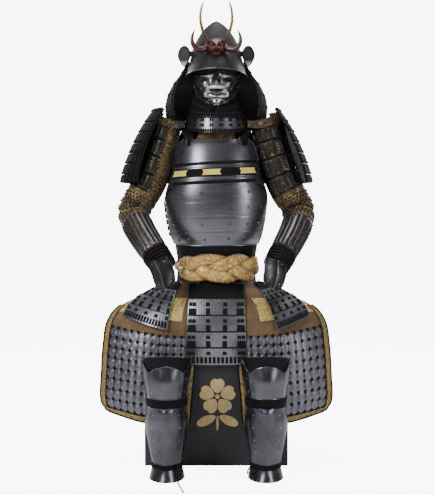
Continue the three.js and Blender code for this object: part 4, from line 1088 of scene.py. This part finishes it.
iron = bmesh.new()
silk = bmesh.new()
pairs = [u + shift for u in spaced(20) for shift in (-0.006, 0.006)]
for row in range(3):
    lame_row(iron, gorget, 3, row, 120, 3.2)
    rolled_edge(iron, gorget, lambda t: (t, (row + 0.04) / 3), 1.5, 3.4, 121)
    lace_runs(silk, gorget, 3, row, spaced(84) if row == 2 else pairs, 0.009, 0.35, 0.98, 0.6, 2.6, step=3.2)
piece("gorget_lames", iron, steel, "steel", ["gorget"], wall=1.6)
silk_piece("gorget_lacing", silk)


def collar(u, v):
    side = 2 * u - 1
    crease = 0.8 * sin(side * 9 + v * 3)
    return torso(side * radians(mix(28, 34, v)), mix(1190, 1124, v), -3.4 + crease)


bm = bmesh.new()
lay(bm, 40, 20, collar)
collar_cloth = piece("collar_brocade", bm, sleeve_brocade, "brown", ["collar"], wall=1.8)


def throat(u, v):
    side = 2 * u - 1
    upper = mask_shield(0.5 + 0.465 * side, 1.0) + Vector((0, 0.0005, -0.0006))
    lower = place(110.5 * sin(side * radians(80)), -119 * cos(side * radians(80)),
                  1232 + 2 * side * side)
    return upper.lerp(lower, v)


iron = bmesh.new()
silk = bmesh.new()
for row in range(3):
    lame_row(iron, throat, 3, row, 40, 2.6)
    lace_runs(silk, throat, 3, row, spaced(26), 0.03, 0.12, 0.98, 0.2, 2.8, step=3.0)
piece("throat_guard_lames", iron, russet_iron, "dark", wall=1.6)
silk_piece("throat_guard_lacing", silk, ["throat_guard"])

# %% [markdown]
# Under the cuirass a band of black net cloth carries the laces of the tassets. Over it lies
# the sash: three thick rolls of gold brocade in a flat braid. Each roll follows the waist
# while it weaves up and down, in and out, a third of a turn behind its neighbour.

# %% Waist lacing and braided sash


def waist(u, v):
    angle = 2 * pi * u - pi
    z = mix(789, 630, v)
    net = 0.9 * cos(angle * 60 + z * 0.22) * cos(angle * 60 - z * 0.22)
    return torso(angle, z, -3.6 + (0.6 + net if z < 770 else 0.0))


bm = bmesh.new()
lay(bm, 260, 40, waist, spread=(60.0, 8.0))
waist_cloth = silk_piece("waist_lacing_net", bm, ["waist_lacing"], wall=1.6)

SASH_PITCH = 0.88
SASH_MIDDLE = 698
SASH_POINTS = 240


def sash_line(start, count):
    line, sizes, outs = [], [], []
    for k in range(count + 1):
        angle = mix(-pi, pi, k / count)
        turned = atan2(sin(angle - 0.12), cos(angle - 0.12))
        front = ease((1.22 - abs(turned)) / 0.5)
        phase = 2 * pi * (angle / (2 * SASH_PITCH) + start)
        taper = 1 - 0.34 * clamp(abs(turned) / 1.15) ** 2
        high = mix(8, 30 * taper, front) * sin(phase)
        out = mix(2.5, 17, front) + mix(1.5, 9, front) * sin(2 * phase) + 1.0
        line.append(torso(angle, SASH_MIDDLE + high - 3 * front, out))
        outs.append((torso(angle, SASH_MIDDLE, 40) - torso(angle, SASH_MIDDLE, 0)).normalized())
        sizes.append(mix(9, 25 * taper, front) * (1 + 0.08 * cos(2 * phase)))
    return line, sizes, outs


bm = bmesh.new()
for strand in range(3):
    line, sizes, outs = sash_line(strand / 3, SASH_POINTS)
    tube(bm, line, lambda t: sizes[round(t * SASH_POINTS)], 20, 0.58, away=lambda k: outs[k])
for corner in bm.verts:
    angle = atan2(corner.co.x, -(corner.co.y - FORWARD * MM))
    twist = angle * 26 + corner.co.z * 190
    fold = (1.5 * sin(twist) + 0.9 * sin(twist * 1.9 + 1.0)
            + 0.5 * sin(angle * 61 - corner.co.z * 310))
    outward = Vector((sin(angle), -cos(angle), 0))
    corner.co += outward * (fold * MM * ease((1.5 - abs(angle)) / 0.6))
sash = piece("belt_braid", bm, belt_brocade, "belt", ["belt"])

# %% [markdown]
# The sleeves are brown and gold brocade over the whole arm. They are tubes bent at the elbow,
# where the cloth bunches in short ridges. Between the iron pieces the cloth sags a little.
# Waves of several lengths, laid across each other, move the cloth in and out. A dark brocade
# yoke covers each shoulder, and a panel of it closes the gap between sleeve and breastplate.

# %% Sleeves
ARM = [(k / 8, *row) for k, row in enumerate((
    (181, 4, 1248, 57, 62), (192, 4, 1190, 60, 64), (216, 4, 1105, 59, 62), (250, 2, 1010, 59, 60),
    (290, -6, 930, 59, 59), (303, -30, 880, 56, 57), (280, -86, 829, 51, 52), (240, -149, 768, 47, 46),
    (197, -210, 706, 41, 40)))]


def arm_centre(v, side):
    return Vector((read(ARM, 1, v) + side * 12 * clamp((v - 0.6) / 0.4), read(ARM, 2, v), read(ARM, 3, v)))


def arm_of(side):
    def arm(u, v):
        angle = 2 * pi * u
        along = (arm_centre(min(v + 0.02, 1), side) - arm_centre(max(v - 0.02, 0), side)).normalized()
        fore = (Vector((0, -1, 0)) + along * along.y).normalized()
        outer = fore.cross(along)
        towards_body = min(sin(angle), 0) * (10 * bell(v - 0.4, 0.09) + 4 * bell(v - 0.25, 0.1))
        p = (arm_centre(clamp(v), side) + outer * (read(ARM, 4, v) * sin(angle) + towards_body)
             + fore * (read(ARM, 5, v) * cos(angle)))
        if v < 0.12:
            p.z += (20 * sin(angle) - 12) * (1 - v / 0.12)
        return place(side * p.x, p.y, p.z)
    return arm


def arm_spot(side, k):
    x, y, z = arm_centre(k / 40, side)
    return place(side * x, y, z)


ARM_SPOTS = {side: [arm_spot(side, k) for k in range(41)] for side in (1, -1)}


def inside_arm(side):
    def nearest(p):
        return min(ARM_SPOTS[side], key=lambda spot: (spot - p).length_squared)
    return nearest


def cloth_folds(side, u, v):
    angle = 2 * pi * u
    ridges = cos(2 * pi * (v - 0.58) / 0.052 + 1.3 * sin(angle + side))
    elbow = 4.5 * bell(v - 0.585, 0.085) * ridges
    bunch = 2.0 * bell(v - 0.59, 0.12) * sin(3 * angle + 40 * v + side)
    sag = 1.6 * sin(2 * angle + 22 * v + side) * sin(17 * v)
    fine = 0.7 * sin(5 * angle - 61 * v) + 0.5 * sin(9 * angle + 83 * v)
    return elbow + bunch + sag * 0.6 + fine - 1.6


ARMPIT = ((1000, 187), (1050, 173), (1105, 159), (1194, 131))
YOKE_HALF_TURN = 1.35
for tag, side in SIDES:
    arm, core = arm_of(side), inside_arm(side)

    def sleeve_cloth(u, v):
        return raised(arm, u, v, cloth_folds(side, u, v) * ease(v / 0.05), core)

    bm = bmesh.new()
    lay(bm, 96, 150, sleeve_cloth, core, (6.0, 11.0))
    sleeve = piece(f"sleeve_{tag}_brocade", bm, sleeve_brocade, "brocade", [f"sleeve_{tag}"], wall=2.0)

    def yoke(u, v):
        turn = mix(-YOKE_HALF_TURN, YOKE_HALF_TURN, u)
        wrinkle = 1.2 * sin(7 * v + 3 * turn) * cos(turn)
        return place(side * mix(176, 114, v), 4 + 68 * sin(turn) / sin(YOKE_HALF_TURN),
                     1235 + 42 * (cos(turn) - 1) - 3 * arch(v) + wrinkle)

    def gusset(u, v):
        z = mix(1194, 1000, v)
        body_side = 0.99 * read(TORSO, 1, min(z, 1168)) + 2 - 24 * clamp((z - 1160) / 34)
        return place(side * mix(body_side, read(ARMPIT, 1, z), u), 35 + 3 * sin(5 * u), z)

    bm = bmesh.new()
    lay(bm, 44, 16, yoke, lambda p: Vector((p.x, p.y, p.z - 0.08)))
    lay(bm, 8, 30, gusset, lambda p: Vector((p.x, p.y + 0.05, p.z)))
    made = piece(f"shoulder_yoke_{tag}_brocade", bm, yoke_brocade, "brocade", wall=1.6)

# %% [markdown]
# Iron splints stiffen the sleeve. On the forearm nine long narrow ones lie side by side like
# staves, with gold brocade between them. On the upper arm four tiers of short ones are
# joined by mail, and mail covers the elbow, so the arm can bend. Each splint is one stamped
# form, and each knot of mail another. A band of laces closes the wrist.

# %% Splints and mail
TURN = {1: (-70, 110), -1: (-14, 150)}
TIERS, TIER_STEP = 4, 0.0855
SPLINTS = 6
STAVES, STAVES_HALF_TURN = 9, 100


def around(low, high, t):
    return mix(low, high, t) / 360


for tag, side in SIDES:
    arm, core = arm_of(side), inside_arm(side)
    start, end = TURN[side]
    wide = (end - start) / 360 / SPLINTS * 0.62
    upper = bmesh.new()
    silk = bmesh.new()
    for tier in range(TIERS):
        low, high = 0.093 + TIER_STEP * tier, 0.170 + TIER_STEP * tier
        for t in spaced(SPLINTS):
            u = around(start, end, t)
            long = high - low - 0.012
            stamp(upper, splint_form, put_on(arm, u, (low + high) / 2, wide, long, -0.6, 4.6, core))
            for at in (low + 0.006, high - 0.006):
                rivet_at(upper, arm, u, at, 4.2, core, 3.2)
        for k in range(SPLINTS + 1):
            for at in (low + 0.016, low + 0.03, low + 0.044, low + 0.058):
                mail_at(silk, raised(arm, around(start, end, k / SPLINTS), at, 1.2, core), 5.4)
        for at in (low - 0.002, high + 0.001):
            for t in spaced(26):
                mail_at(silk, raised(arm, around(start, end, t), at, 1.6, core), 6.2)
    for row in range(11):
        for k in range(12):
            u, v = around(start, end, (k + 0.5 * (row % 2)) / 12), 0.468 + 0.021 * row
            mail_at(silk, raised(arm, u, v, cloth_folds(side, u, v) + 1.0, core), 6.0)
    piece(f"upper_arm_guard_{tag}_splints", upper, hand_iron, "dark", [f"upper_arm_guard_{tag}"])
    silk_piece(f"upper_arm_mail_{tag}", silk)
    lower = bmesh.new()
    wide = 2 * STAVES_HALF_TURN / 360 / STAVES * 0.66

    def on_forearm(t):
        return around(-STAVES_HALF_TURN, STAVES_HALF_TURN, t)

    for t in spaced(STAVES):
        stamp(lower, splint_form, put_on(arm, on_forearm(t), 0.805, wide, 0.212, -0.4, 5.0, core))
    for at in (0.705, 0.905):
        rolled_edge(lower, arm, lambda t: (on_forearm(t), at), 1.9, 1.8, 40, core)
    piece(f"forearm_guard_{tag}_splints", lower, splint_steel, "steel", [f"forearm_guard_{tag}"])
    band = bmesh.new()
    for k in range(5):
        line = [raised(arm, j / 48, 0.925 + 0.0175 * k, 2.2, core) for j in range(49)]
        tube(band, line, lambda t: 4.2 + 0.9 * abs(sin(24 * pi * t)))

    def cuff(u, v):
        return raised(arm, u, mix(0.93, 0.995, v), -3.0, core)

    lay(band, 40, 6, cuff, None)
    silk_piece(f"wrist_band_{tag}_laces", band, [f"wrist_band_{tag}"])

# %% [markdown]
# The hand guard is a smooth bevelled plate over the back of each hand, with a bright worn rim
# at one edge and another where the part over the thumb begins. Black cloth joins it to the
# wrist.

# %% Hand guards
HAND = ((0, 208, -247, 730, 33), (0.35, 198, -261, 700, 37), (0.7, 190, -268, 666, 36),
        (1, 184, -270, 637, 30))


def hand_of(side):
    def hand(u, v):
        across = 2 * u - 1
        x = read(HAND, 1, v) + side * 10 * clamp(v * 2) + across * read(HAND, 4, v)
        x -= 5 * across * ease((v - 0.86) / 0.14) if v > 0.86 else 0
        facet = -7 * clamp(1 - abs(across - 0.2) / (1.2 if across < 0.2 else 0.8))
        return place(side * x, read(HAND, 2, v) + 12 * across * across + facet, read(HAND, 3, v) - 9 * across)
    return hand


for tag, side in SIDES:
    hand = hand_of(side)

    def behind_hand(p):
        return Vector((p.x, p.y + 0.06, p.z + 0.008))

    bm = bmesh.new()
    lay(bm, 30, 40, hand, behind_hand)
    for along in (lambda t: (0.01, t), lambda t: (0.99, t), lambda t: (t, 0.995), lambda t: (t, 0.01)):
        rolled_edge(bm, hand, along, 2.1, 0.6, 30, behind_hand)
    piece(f"hand_guard_{tag}_plate", bm, hand_iron, "dark", [f"hand_guard_{tag}"], wall=2.2)
    bm = bmesh.new()
    for along in (lambda t: (0.006, t), lambda t: (0.6, t)):
        rolled_edge(bm, hand, along, 1.6, 1.6, 30, behind_hand)
    for u in (0.2, 0.8):
        for v in (0.12, 0.85):
            rivet_at(bm, hand, u, v, 6, behind_hand)
    piece(f"hand_guard_{tag}_rim", bm, bright_steel, "dark")

    def web(u, v):
        wrist = raised(arm_of(side), mix(-0.16, 0.16, u), 0.985, -2.0, inside_arm(side))
        plate_top = hand(u, 0.1) + Vector((0, 0.004, 0))
        return wrist.lerp(plate_top, v) + Vector((0, 0.006 * arch(v), 0))

    bm = bmesh.new()
    lay(bm, 24, 10, web, None)
    made = silk_piece(f"hand_web_{tag}_cloth", bm, wall=1.2)

# %% [markdown]
# The shoulder guards are seven laced lames each, curved round the arm. Their dense black
# lacing leaves only glints of plate, and its ends make the outline jagged.

# %% Shoulder guards
GUARD_LAMES = 7
GUARD_DROP = ((0, 232, 1266), (0.22, 270, 1208), (0.45, 302, 1148), (0.66, 325, 1093), (0.83, 341, 1047),
              (1, 352, 1002))
CURL = {1: (22, 28), -1: (46, 68)}
for tag, side in SIDES:
    curl = CURL[side]

    def guard(u, v):
        across = 2 * u - 1
        inward = (mix(*curl, v) if across < 0 else 34) * across * across
        return place(side * (read(GUARD_DROP, 1, v) - inward), 94 * across + 4, read(GUARD_DROP, 2, v))

    def under_guard(p):
        return Vector((side * 0.15, FORWARD * MM, p.z - 0.06))

    iron = bmesh.new()
    silk = bmesh.new()
    columns = spaced(14, 0.02, 0.98)
    for row in range(GUARD_LAMES):
        lame_row(iron, guard, GUARD_LAMES, row, 32, 3.6, inside=under_guard)
        lace_runs(silk, guard, GUARD_LAMES, row, columns, 0.056, 0.26, 0.97, 0.3, 5.4, under_guard, 3.6)
        lace_runs(silk, guard, GUARD_LAMES, row, columns, 0.05, -0.05, 0.16, 0.4, 5.0, under_guard, 3.8)
    for along in (lambda t: (0.004, t), lambda t: (0.996, t), lambda t: (t, 0.004)):
        rolled_edge(silk, guard, along, 3.0, 1.5, 50, under_guard)
    piece(f"shoulder_guard_{tag}_lames", iron, hand_iron, "steel", wall=2.0)
    silk_piece(f"shoulder_guard_{tag}_lacing", silk, [f"shoulder_guard_{tag}"])

# %% [markdown]
# Each thigh guard is a cloth apron from the waist. Its lower part carries rows of small
# plates with an engraved scroll, tied at their corners with black lace. A gold brocade edging
# runs round it, and its top has a brown frame with a brocade patch.

# %% Thigh guards
SCALE_COLUMNS, SCALE_ROWS = 11, 8
PATCH_START = {1: 0.27, -1: 0.17}
EDGE = ((1.0, 0.18), (1.0, 0.93), (0.97, 0.985), (0.92, 1.0), (0.06, 1.0), (0.0, 0.985), (0.0, 0.3))
THIGH = ((0.00, 58, -146, 645, 138, -82, 645, 0), (0.16, 64, -186, 575, 330, -92, 568, 26),
         (0.30, 68, -216, 510, 388, -112, 512, 52), (0.50, 72, -219, 423, 404, -142, 423, 62),
         (0.72, 78, -228, 320, 410, -156, 315, 58), (0.88, 86, -238, 230, 412, -166, 238, 50),
         (1.00, 92, -245, 156, 396, -180, 194, 42))


def thigh_of(side):
    def thigh(u, v):
        x = mix(read(THIGH, 1, v), read(THIGH, 4, v), u)
        y = (mix(read(THIGH, 2, v), read(THIGH, 5, v), u)
             - read(THIGH, 7, v) * sin(pi * clamp(u) ** 1.15))
        z = mix(read(THIGH, 3, v), read(THIGH, 6, v), u) - 14 * v * bell(u - 0.45, 0.4)
        top = torso(radians(mix(20, 62, u)), 645 - 300 * v, -0.8)
        p = top.lerp(place(x, y, z), ease(v / 0.1))
        return Vector((side * p.x, p.y, p.z))
    return thigh


def behind_thigh(p):
    return Vector((p.x * 0.7, (120 + FORWARD) * MM, p.z - 0.06))


def engraved_steel():
    material, tree, shader = finish_named("engraved_scale_steel", metallic=0.85, roughness=0.34)
    spot = node(tree, "VectorMath", {"operation": "SUBTRACT"}, {0: spot_of(tree, "UV"), 1: (0.5, 0.5, 0)})
    reach = node(tree, "VectorMath", {"operation": "LENGTH"}, {0: spot}, "Value")
    angle = maths(tree, "ARCTAN2", part_of(tree, spot, "Y"), part_of(tree, spot, "X"))
    coil = maths(tree, "ADD", maths(tree, "MULTIPLY", reach, 44.0), angle)
    disc = ranged(tree, reach, 0.48, 0.44)
    tone = ranged(tree, maths(tree, "MULTIPLY", maths(tree, "SINE", coil), disc), -0.8, 0.6)
    base = blend(tree, noise(tree, spot_of(tree), 16.0), "#62626c", "#8e8d97")
    cut = ranged(tree, tone, start=0.45, end=1.15)
    join(tree, blend(tree, 1.0, base, cut, "MULTIPLY"), shader, "Base Color")
    bump(tree, shader, tone, 0.6, 0.0008)
    return material


scale_steel = engraved_steel()
for tag, side in SIDES:
    thigh = thigh_of(side)

    def draped(u, v):
        fold = 1.1 * sin(9 * u + 4 * v) * sin(5 * v) + 0.5 * sin(23 * u - 9 * v)
        return raised(thigh, u, v, fold * ease((v - 0.08) / 0.1) * 0.5 - 0.6, behind_thigh)

    bm = bmesh.new()
    lay(bm, 60, 90, draped, behind_thigh)
    apron = piece(f"thigh_cloth_{tag}_hemp", bm, brown_cloth, "brown", [f"thigh_cloth_{tag}"], wall=2.0)

    def plated(u, v):
        u = mix(0.08, 0.92, u)
        return thigh(u, mix(mix(0.425, 0.352, u), 0.942, v))

    def on_field(i, j, wide, long, low, high):
        return put_on(plated, i / SCALE_COLUMNS, j / SCALE_ROWS, wide / SCALE_COLUMNS, long / SCALE_ROWS,
                      low, high, behind_thigh)

    plates = bmesh.new()
    ties = bmesh.new()
    for i in range(SCALE_COLUMNS):
        for j in range(SCALE_ROWS):
            stamp(plates, scale_form, on_field(i + 0.5, j + 0.5, 0.93, 0.97, 0.5, 3.4))
    for i in range(SCALE_COLUMNS + 1):
        for j in range(SCALE_ROWS + 1):
            stamp(ties, pad_form, on_field(i, j, 0.42, 0.36, 1.5, 4.8))
    piece(f"thigh_plates_{tag}_scales", plates, scale_steel, "steel", [f"thigh_plates_{tag}"])
    silk_piece(f"thigh_ties_{tag}", ties)

    def edge_line(t, inset):
        along = t * (len(EDGE) - 1)
        k = min(int(along), len(EDGE) - 2)
        u, v = (mix(a, b, along - k) for a, b in zip(EDGE[k], EDGE[k + 1]))
        return clamp(u, inset, 1 - inset), min(v, 1 - inset * 0.76)

    def edging(u, v):
        swell = 1.6 + 1.6 * arch(v)
        return raised(thigh, *edge_line(u, 0.004 + 0.052 * v), swell, behind_thigh)

    bm = bmesh.new()
    lay(bm, 150, 6, edging, behind_thigh)
    border = piece(f"thigh_border_{tag}_brocade", bm, edge_brocade, "trim", [f"thigh_border_{tag}"], wall=1.4)
    bm = bmesh.new()
    for inset, size in ((0.003, 3.2), (0.062, 1.3)):
        line = [raised(thigh, *edge_line(k / 140, inset), 2.2, behind_thigh) for k in range(141)]
        tube(bm, line, size, 6)
    piping = silk_piece(f"thigh_piping_{tag}", bm)

    def patch(u, v):
        low = mix(0.29, 0.23, u)
        return raised(thigh, mix(PATCH_START[side], 0.96, u), mix(0.12, low, v), 1.4, behind_thigh)

    bm = bmesh.new()
    lay(bm, 30, 14, patch, behind_thigh)
    patch_cloth = piece(f"thigh_patch_{tag}", bm, patch_brocade, "trim", wall=1.2)

# %% [markdown]
# The tassets are laced skirts of steel lames. Their lames are fluted, each flute standing for
# one scale, and their upper edges are scalloped. Black laces run down them in pairs at the
# sides and singly between, and the lowest lame has a row of upright laces.

# %% Tassets
DROP = ((0, -150), (0.14, -188), (0.28, -214), (0.47, -233), (0.72, -241), (1, -244))


def front_tasset(u, v):
    across = 2 * u - 1
    top = torso(radians(34 * across), 640, 3.0)
    near = ease(1 - v / 0.14)
    fall = place(mix(top.x / MM, 108 * across, v), read(DROP, 1, v) + 9 * across * across, mix(640, 363, v))
    return Vector((fall.x, mix(fall.y, top.y, near), fall.z))


def over_thigh(p):
    return Vector((p.x * 0.6, (60 + FORWARD) * MM, p.z - 0.03))


def tasset(name, shape, lames, columns, flutes, across, foot_bars, inside, lace_wide=0.075):
    iron = bmesh.new()
    silk = bmesh.new()
    lace_runs(silk, shape, lames, 0, spaced(flutes), 0.94 / flutes, 0.02, 0.97, -1.0, 2.6, inside, 4.6)
    for row in range(1, lames):
        lame_row(iron, shape, lames, row, across, 4.6, flutes, inside, 0.0)
        lace_runs(silk, shape, lames, row, columns, lace_wide * 0.85, 0.16, 0.36, 0.4, 3.6, inside, 4.6)
        if row == lames - 1:
            bars = spaced(foot_bars, 0.03, 0.97)
            lace_runs(silk, shape, lames, row, bars, 0.6 / foot_bars, 0.5, 0.9, 0.3, 3.0, inside, 4.6)
            continue
        lace_runs(silk, shape, lames, row, columns, lace_wide, 0.5, 0.99, 0.2, 3.4, inside, 4.6)

        # Painted shade: a black silk strip along the foot of each lame, built into the lacing piece, stands
        # for the shaded gap above the next lame's scalloped edge.
        def painted_gap_shade(u, v, row=row):
            return raised(shape, u, (row + mix(0.87, 0.995, v)) / lames, 1.4, inside)
        lay(silk, 40, 2, painted_gap_shade, inside)
    piece(f"{name}_lames", iron, bright_steel, "steel", [name], wall=1.8)
    silk_piece(f"{name}_lacing", silk)


SIDE_START = {1: 60, -1: 52}
SIDE_FOOT_START = {1: 0.36, -1: 0.21}
FOOT_SHIFT = (0.0056, -0.0144, 0.004)

tasset("tasset_front", front_tasset, 5, (0.05, 0.125, 0.375, 0.63, 0.875, 0.95), 22, 132, 14, over_thigh)
for tag, side in SIDES:
    thigh = thigh_of(side)

    def side_tasset(u, v):
        u = mix(0.13, 1.0, u)
        top = torso(radians(mix(SIDE_START[side], 80, u)), 640, 3.0)
        top = Vector((side * top.x, top.y, top.z))
        x, y, z = FOOT_SHIFT
        low = thigh(mix(SIDE_FOOT_START[side], 0.84, u), mix(0.375, 0.265, u)) + Vector((side * x, y, z))
        swell = 0.022 * arch(v)
        flare = side * (0.2 + 1.2 * u * u) * swell
        return top.lerp(low, v) + Vector((flare, -0.7 * swell, 0.6 * swell))

    def under_side(p):
        return Vector((p.x * 0.5, (100 + FORWARD) * MM, p.z - 0.12))

    tasset(f"tasset_side_{tag}", side_tasset, 4, (0.06, 0.3, 0.53, 0.76, 0.94), 16, 96, 15, under_side)


def back_tasset(u, v):
    across = 2 * u - 1
    top = torso(radians(mix(118, 242, u)), 640, 1.4)
    return top.lerp(place(-170 * across, 186 - 40 * across * across, 514), v)


def under_back(p):
    return Vector((p.x * 0.5, (-40 + FORWARD) * MM, p.z - 0.12))


tasset("tasset_back", back_tasset, 3, spaced(8), 30, 180, 26, under_back, 0.045)

# %% [markdown]
# The shin guards stand by themselves on the floor. Each has a ridged shin plate, a winged
# knee plate with a soft dome, quilted cloth between them and laced bands at knee and ankle.

# %% Shin guards
SHIN_SIDE, SHIN_FRONT = 167, -356
SHIN_HALF_TURN = radians(112)
GREAVE_TOP = 247
SHIN = ((-4, 61, 87), (36, 52, 66), (56, 52, 62), (110, 62, 70), (185, 74, 82), (245, 68, 82), (290, 72, 86),
        (335, 80, 92), (405, 85, 88))
LINING_TOP = ((0, 421), (0.4, 415), (0.6, 407), (0.8, 393), (1, 362))
KNEE_TOP = ((0, 389), (0.22, 380), (0.4, 366), (0.66, 402), (0.82, 388), (1, 360))


def shin_surface(side):
    def at(across, z):
        angle = SHIN_HALF_TURN * across
        ridge = 10 * clamp(1 - abs(across) / 0.34) * clamp((258 - z) / 24) * clamp(z / 60)
        return place(side * (SHIN_SIDE + read(SHIN, 1, z) * sin(angle)),
                     SHIN_FRONT - (read(SHIN, 2, z) + ridge) * cos(angle), z)
    return at


for tag, side in SIDES:
    at = shin_surface(side)

    def shin_axis(p):
        return place(side * SHIN_SIDE, SHIN_FRONT + 10, p.z / MM)

    def round_leg(u, z):
        return at(2 * u - 1, z)

    def greave(u, v):
        return at(2 * u - 1, mix(GREAVE_TOP, 0, v))

    def knee_plate(u, v):
        across = 2 * u - 1
        return at(across, mix(read(KNEE_TOP, 1, clamp(abs(across))), 278, v))

    def knee_dome(u, v):
        across = 2 * u - 1
        dome = 7 * bell(across, 0.24) * bell(v - 0.5, 0.38)
        beads = 1.6 * bell(across - 0.42, 0.05) + 1.6 * bell(across + 0.42, 0.05)
        return raised(knee_plate, u, v, dome + beads, shin_axis)

    bm = bmesh.new()
    lay(bm, 80, 60, greave, shin_axis)
    for along in (lambda t: (0.002, 0.985 * t), lambda t: (0.998, 0.985 * t), lambda t: (t, 0.004)):
        rolled_edge(bm, greave, along, 2.2, 0.4, 50, shin_axis)
    piece(f"shin_guard_{tag}_steel", bm, shin_steel, "steel", [f"shin_guard_{tag}"], wall=2.0)
    bm = bmesh.new()
    lay(bm, 90, 40, knee_dome, shin_axis)
    rolled_edge(bm, knee_plate, lambda t: (t, 0.004), 1.9, 0.8, 90, shin_axis)
    rolled_edge(bm, knee_plate, lambda t: (t, 0.996), 2.0, 0.6, 60, shin_axis)
    piece(f"knee_guard_{tag}_steel", bm, shin_steel, "steel", [f"knee_guard_{tag}"], wall=2.0)
    bm = bmesh.new()
    for across in (-0.34, 0.34):
        for z in (222, 180, 138, 96):
            rivet_at(bm, greave, 0.5 + across / 2, (GREAVE_TOP - z) / GREAVE_TOP, 6, shin_axis)
    for across in (-0.5, 0.5, -0.36, 0.36):
        for v in (0.35, 0.8):
            rivet_at(bm, knee_plate, 0.5 + across / 2, v, 5.5, shin_axis)
    piece(f"shin_rivets_{tag}", bm, bright_steel, "steel")

    def lining(u, v):
        across = 2 * u - 1
        z = mix(read(LINING_TOP, 1, clamp(abs(across))), 222, v)
        quilt = 0.9 * abs(sin(z * 0.26 + across * 22)) + 0.9 * abs(sin(z * 0.26 - across * 22))
        return raised(round_leg, u, z, -4.2 + quilt, shin_axis)

    bm = bmesh.new()
    lay(bm, 90, 60, lining, shin_axis, (10.0, 6.0))
    made = silk_piece(f"knee_lining_{tag}_cloth", bm, [f"knee_lining_{tag}"], wall=1.8)

    def laced_gap(u, v):
        return at(2 * u - 1, mix(277, 248, v))

    bm = bmesh.new()
    for u in spaced(30, 0.08, 0.92):
        stamp(bm, pad_form, put_on(laced_gap, u, 0.5, 0.022, 0.9, -1.4, 2.6, shin_axis), (1.0, 2.0))
    silk_piece(f"knee_laces_{tag}", bm)
    bm = bmesh.new()
    for k in range(3):
        def ankle(u, v, k=k):
            swell = arch(v, 0.6)
            return raised(round_leg, u, 55 - 6 * (k + v), 0.5 + 2.3 * swell, shin_axis)
        lay(bm, 60, 5, ankle, shin_axis, (24.0, 1.0))
    silk_piece(f"ankle_band_{tag}_braid", bm, [f"ankle_band_{tag}"], wall=0.6)

# %% [markdown]
# The storage chest is a plain lacquered box, so its own solids stay and only take a finish.
# Its front carries a gold blossom over two leaves, an old and common ornament, cut from thin
# gold leaf: petals are flattened discs drawn out towards the middle. The leaf is a
# millimetre thick here so that it stands clear of the lacquer.

# %% Chest and stand
for name, finish in (("chest_box", chest_lacquer), ("chest_lid", chest_lacquer), ("stand", stand_wood)):
    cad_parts[name].data.materials.clear()
    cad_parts[name].data.materials.append(finish)

leaf_gold = grained("tan_gold_leaf", "#d8c088", "#bda169", 0.15, 0.5, 140.0, 0.15)


def petal(bm, middle, turn, long, wide, point, notch=0.0):
    for corner in bmesh.ops.create_circle(bm, cap_ends=True, segments=40, radius=0.5)["verts"]:
        x, y = corner.co.x, corner.co.y + 0.5
        x *= 1 - point * (1 - y) ** 2
        y -= notch * bell(x, 0.12) if y > 0.7 else 0.0
        across, along = x * wide, y * long
        corner.co = (middle[0] + across * cos(turn) + along * sin(turn), 0,
                     middle[1] - across * sin(turn) + along * cos(turn))


PETALS = 5
BLOSSOM = (4, 246)
CHEST_FRONT = -210.2
LEAF_THICK = 0.0011

bm = bmesh.new()
for k in range(PETALS):
    turn = k * 1.2566
    middle = (BLOSSOM[0] + 12 * sin(turn), BLOSSOM[1] + 12 * cos(turn))
    petal(bm, middle, turn, 54, 56, 0.5, 0.1)
for corner in bmesh.ops.create_circle(bm, cap_ends=True, segments=24, radius=8)["verts"]:
    corner.co = (BLOSSOM[0] + corner.co.x, 0, BLOSSOM[1] + corner.co.y)
for turn, start in ((-2.0, (-3, 176)), (2.0, (11, 176))):
    petal(bm, start, turn, 72, 34, 0.2)
petal(bm, (4, 178), pi, 54, 9, 0.0)
for corner in bm.verts:
    corner.co = place(corner.co.x, CHEST_FRONT, corner.co.z)
bmesh.ops.recalc_face_normals(bm, faces=bm.faces)
for corner in bmesh.ops.extrude_face_region(bm, geom=bm.faces[:])["geom"]:
    if isinstance(corner, bmesh.types.BMVert):
        corner.co.y -= LEAF_THICK
bmesh.ops.recalc_face_normals(bm, faces=bm.faces)
piece("chest_gold_blossom", bm, leaf_gold, "gold")
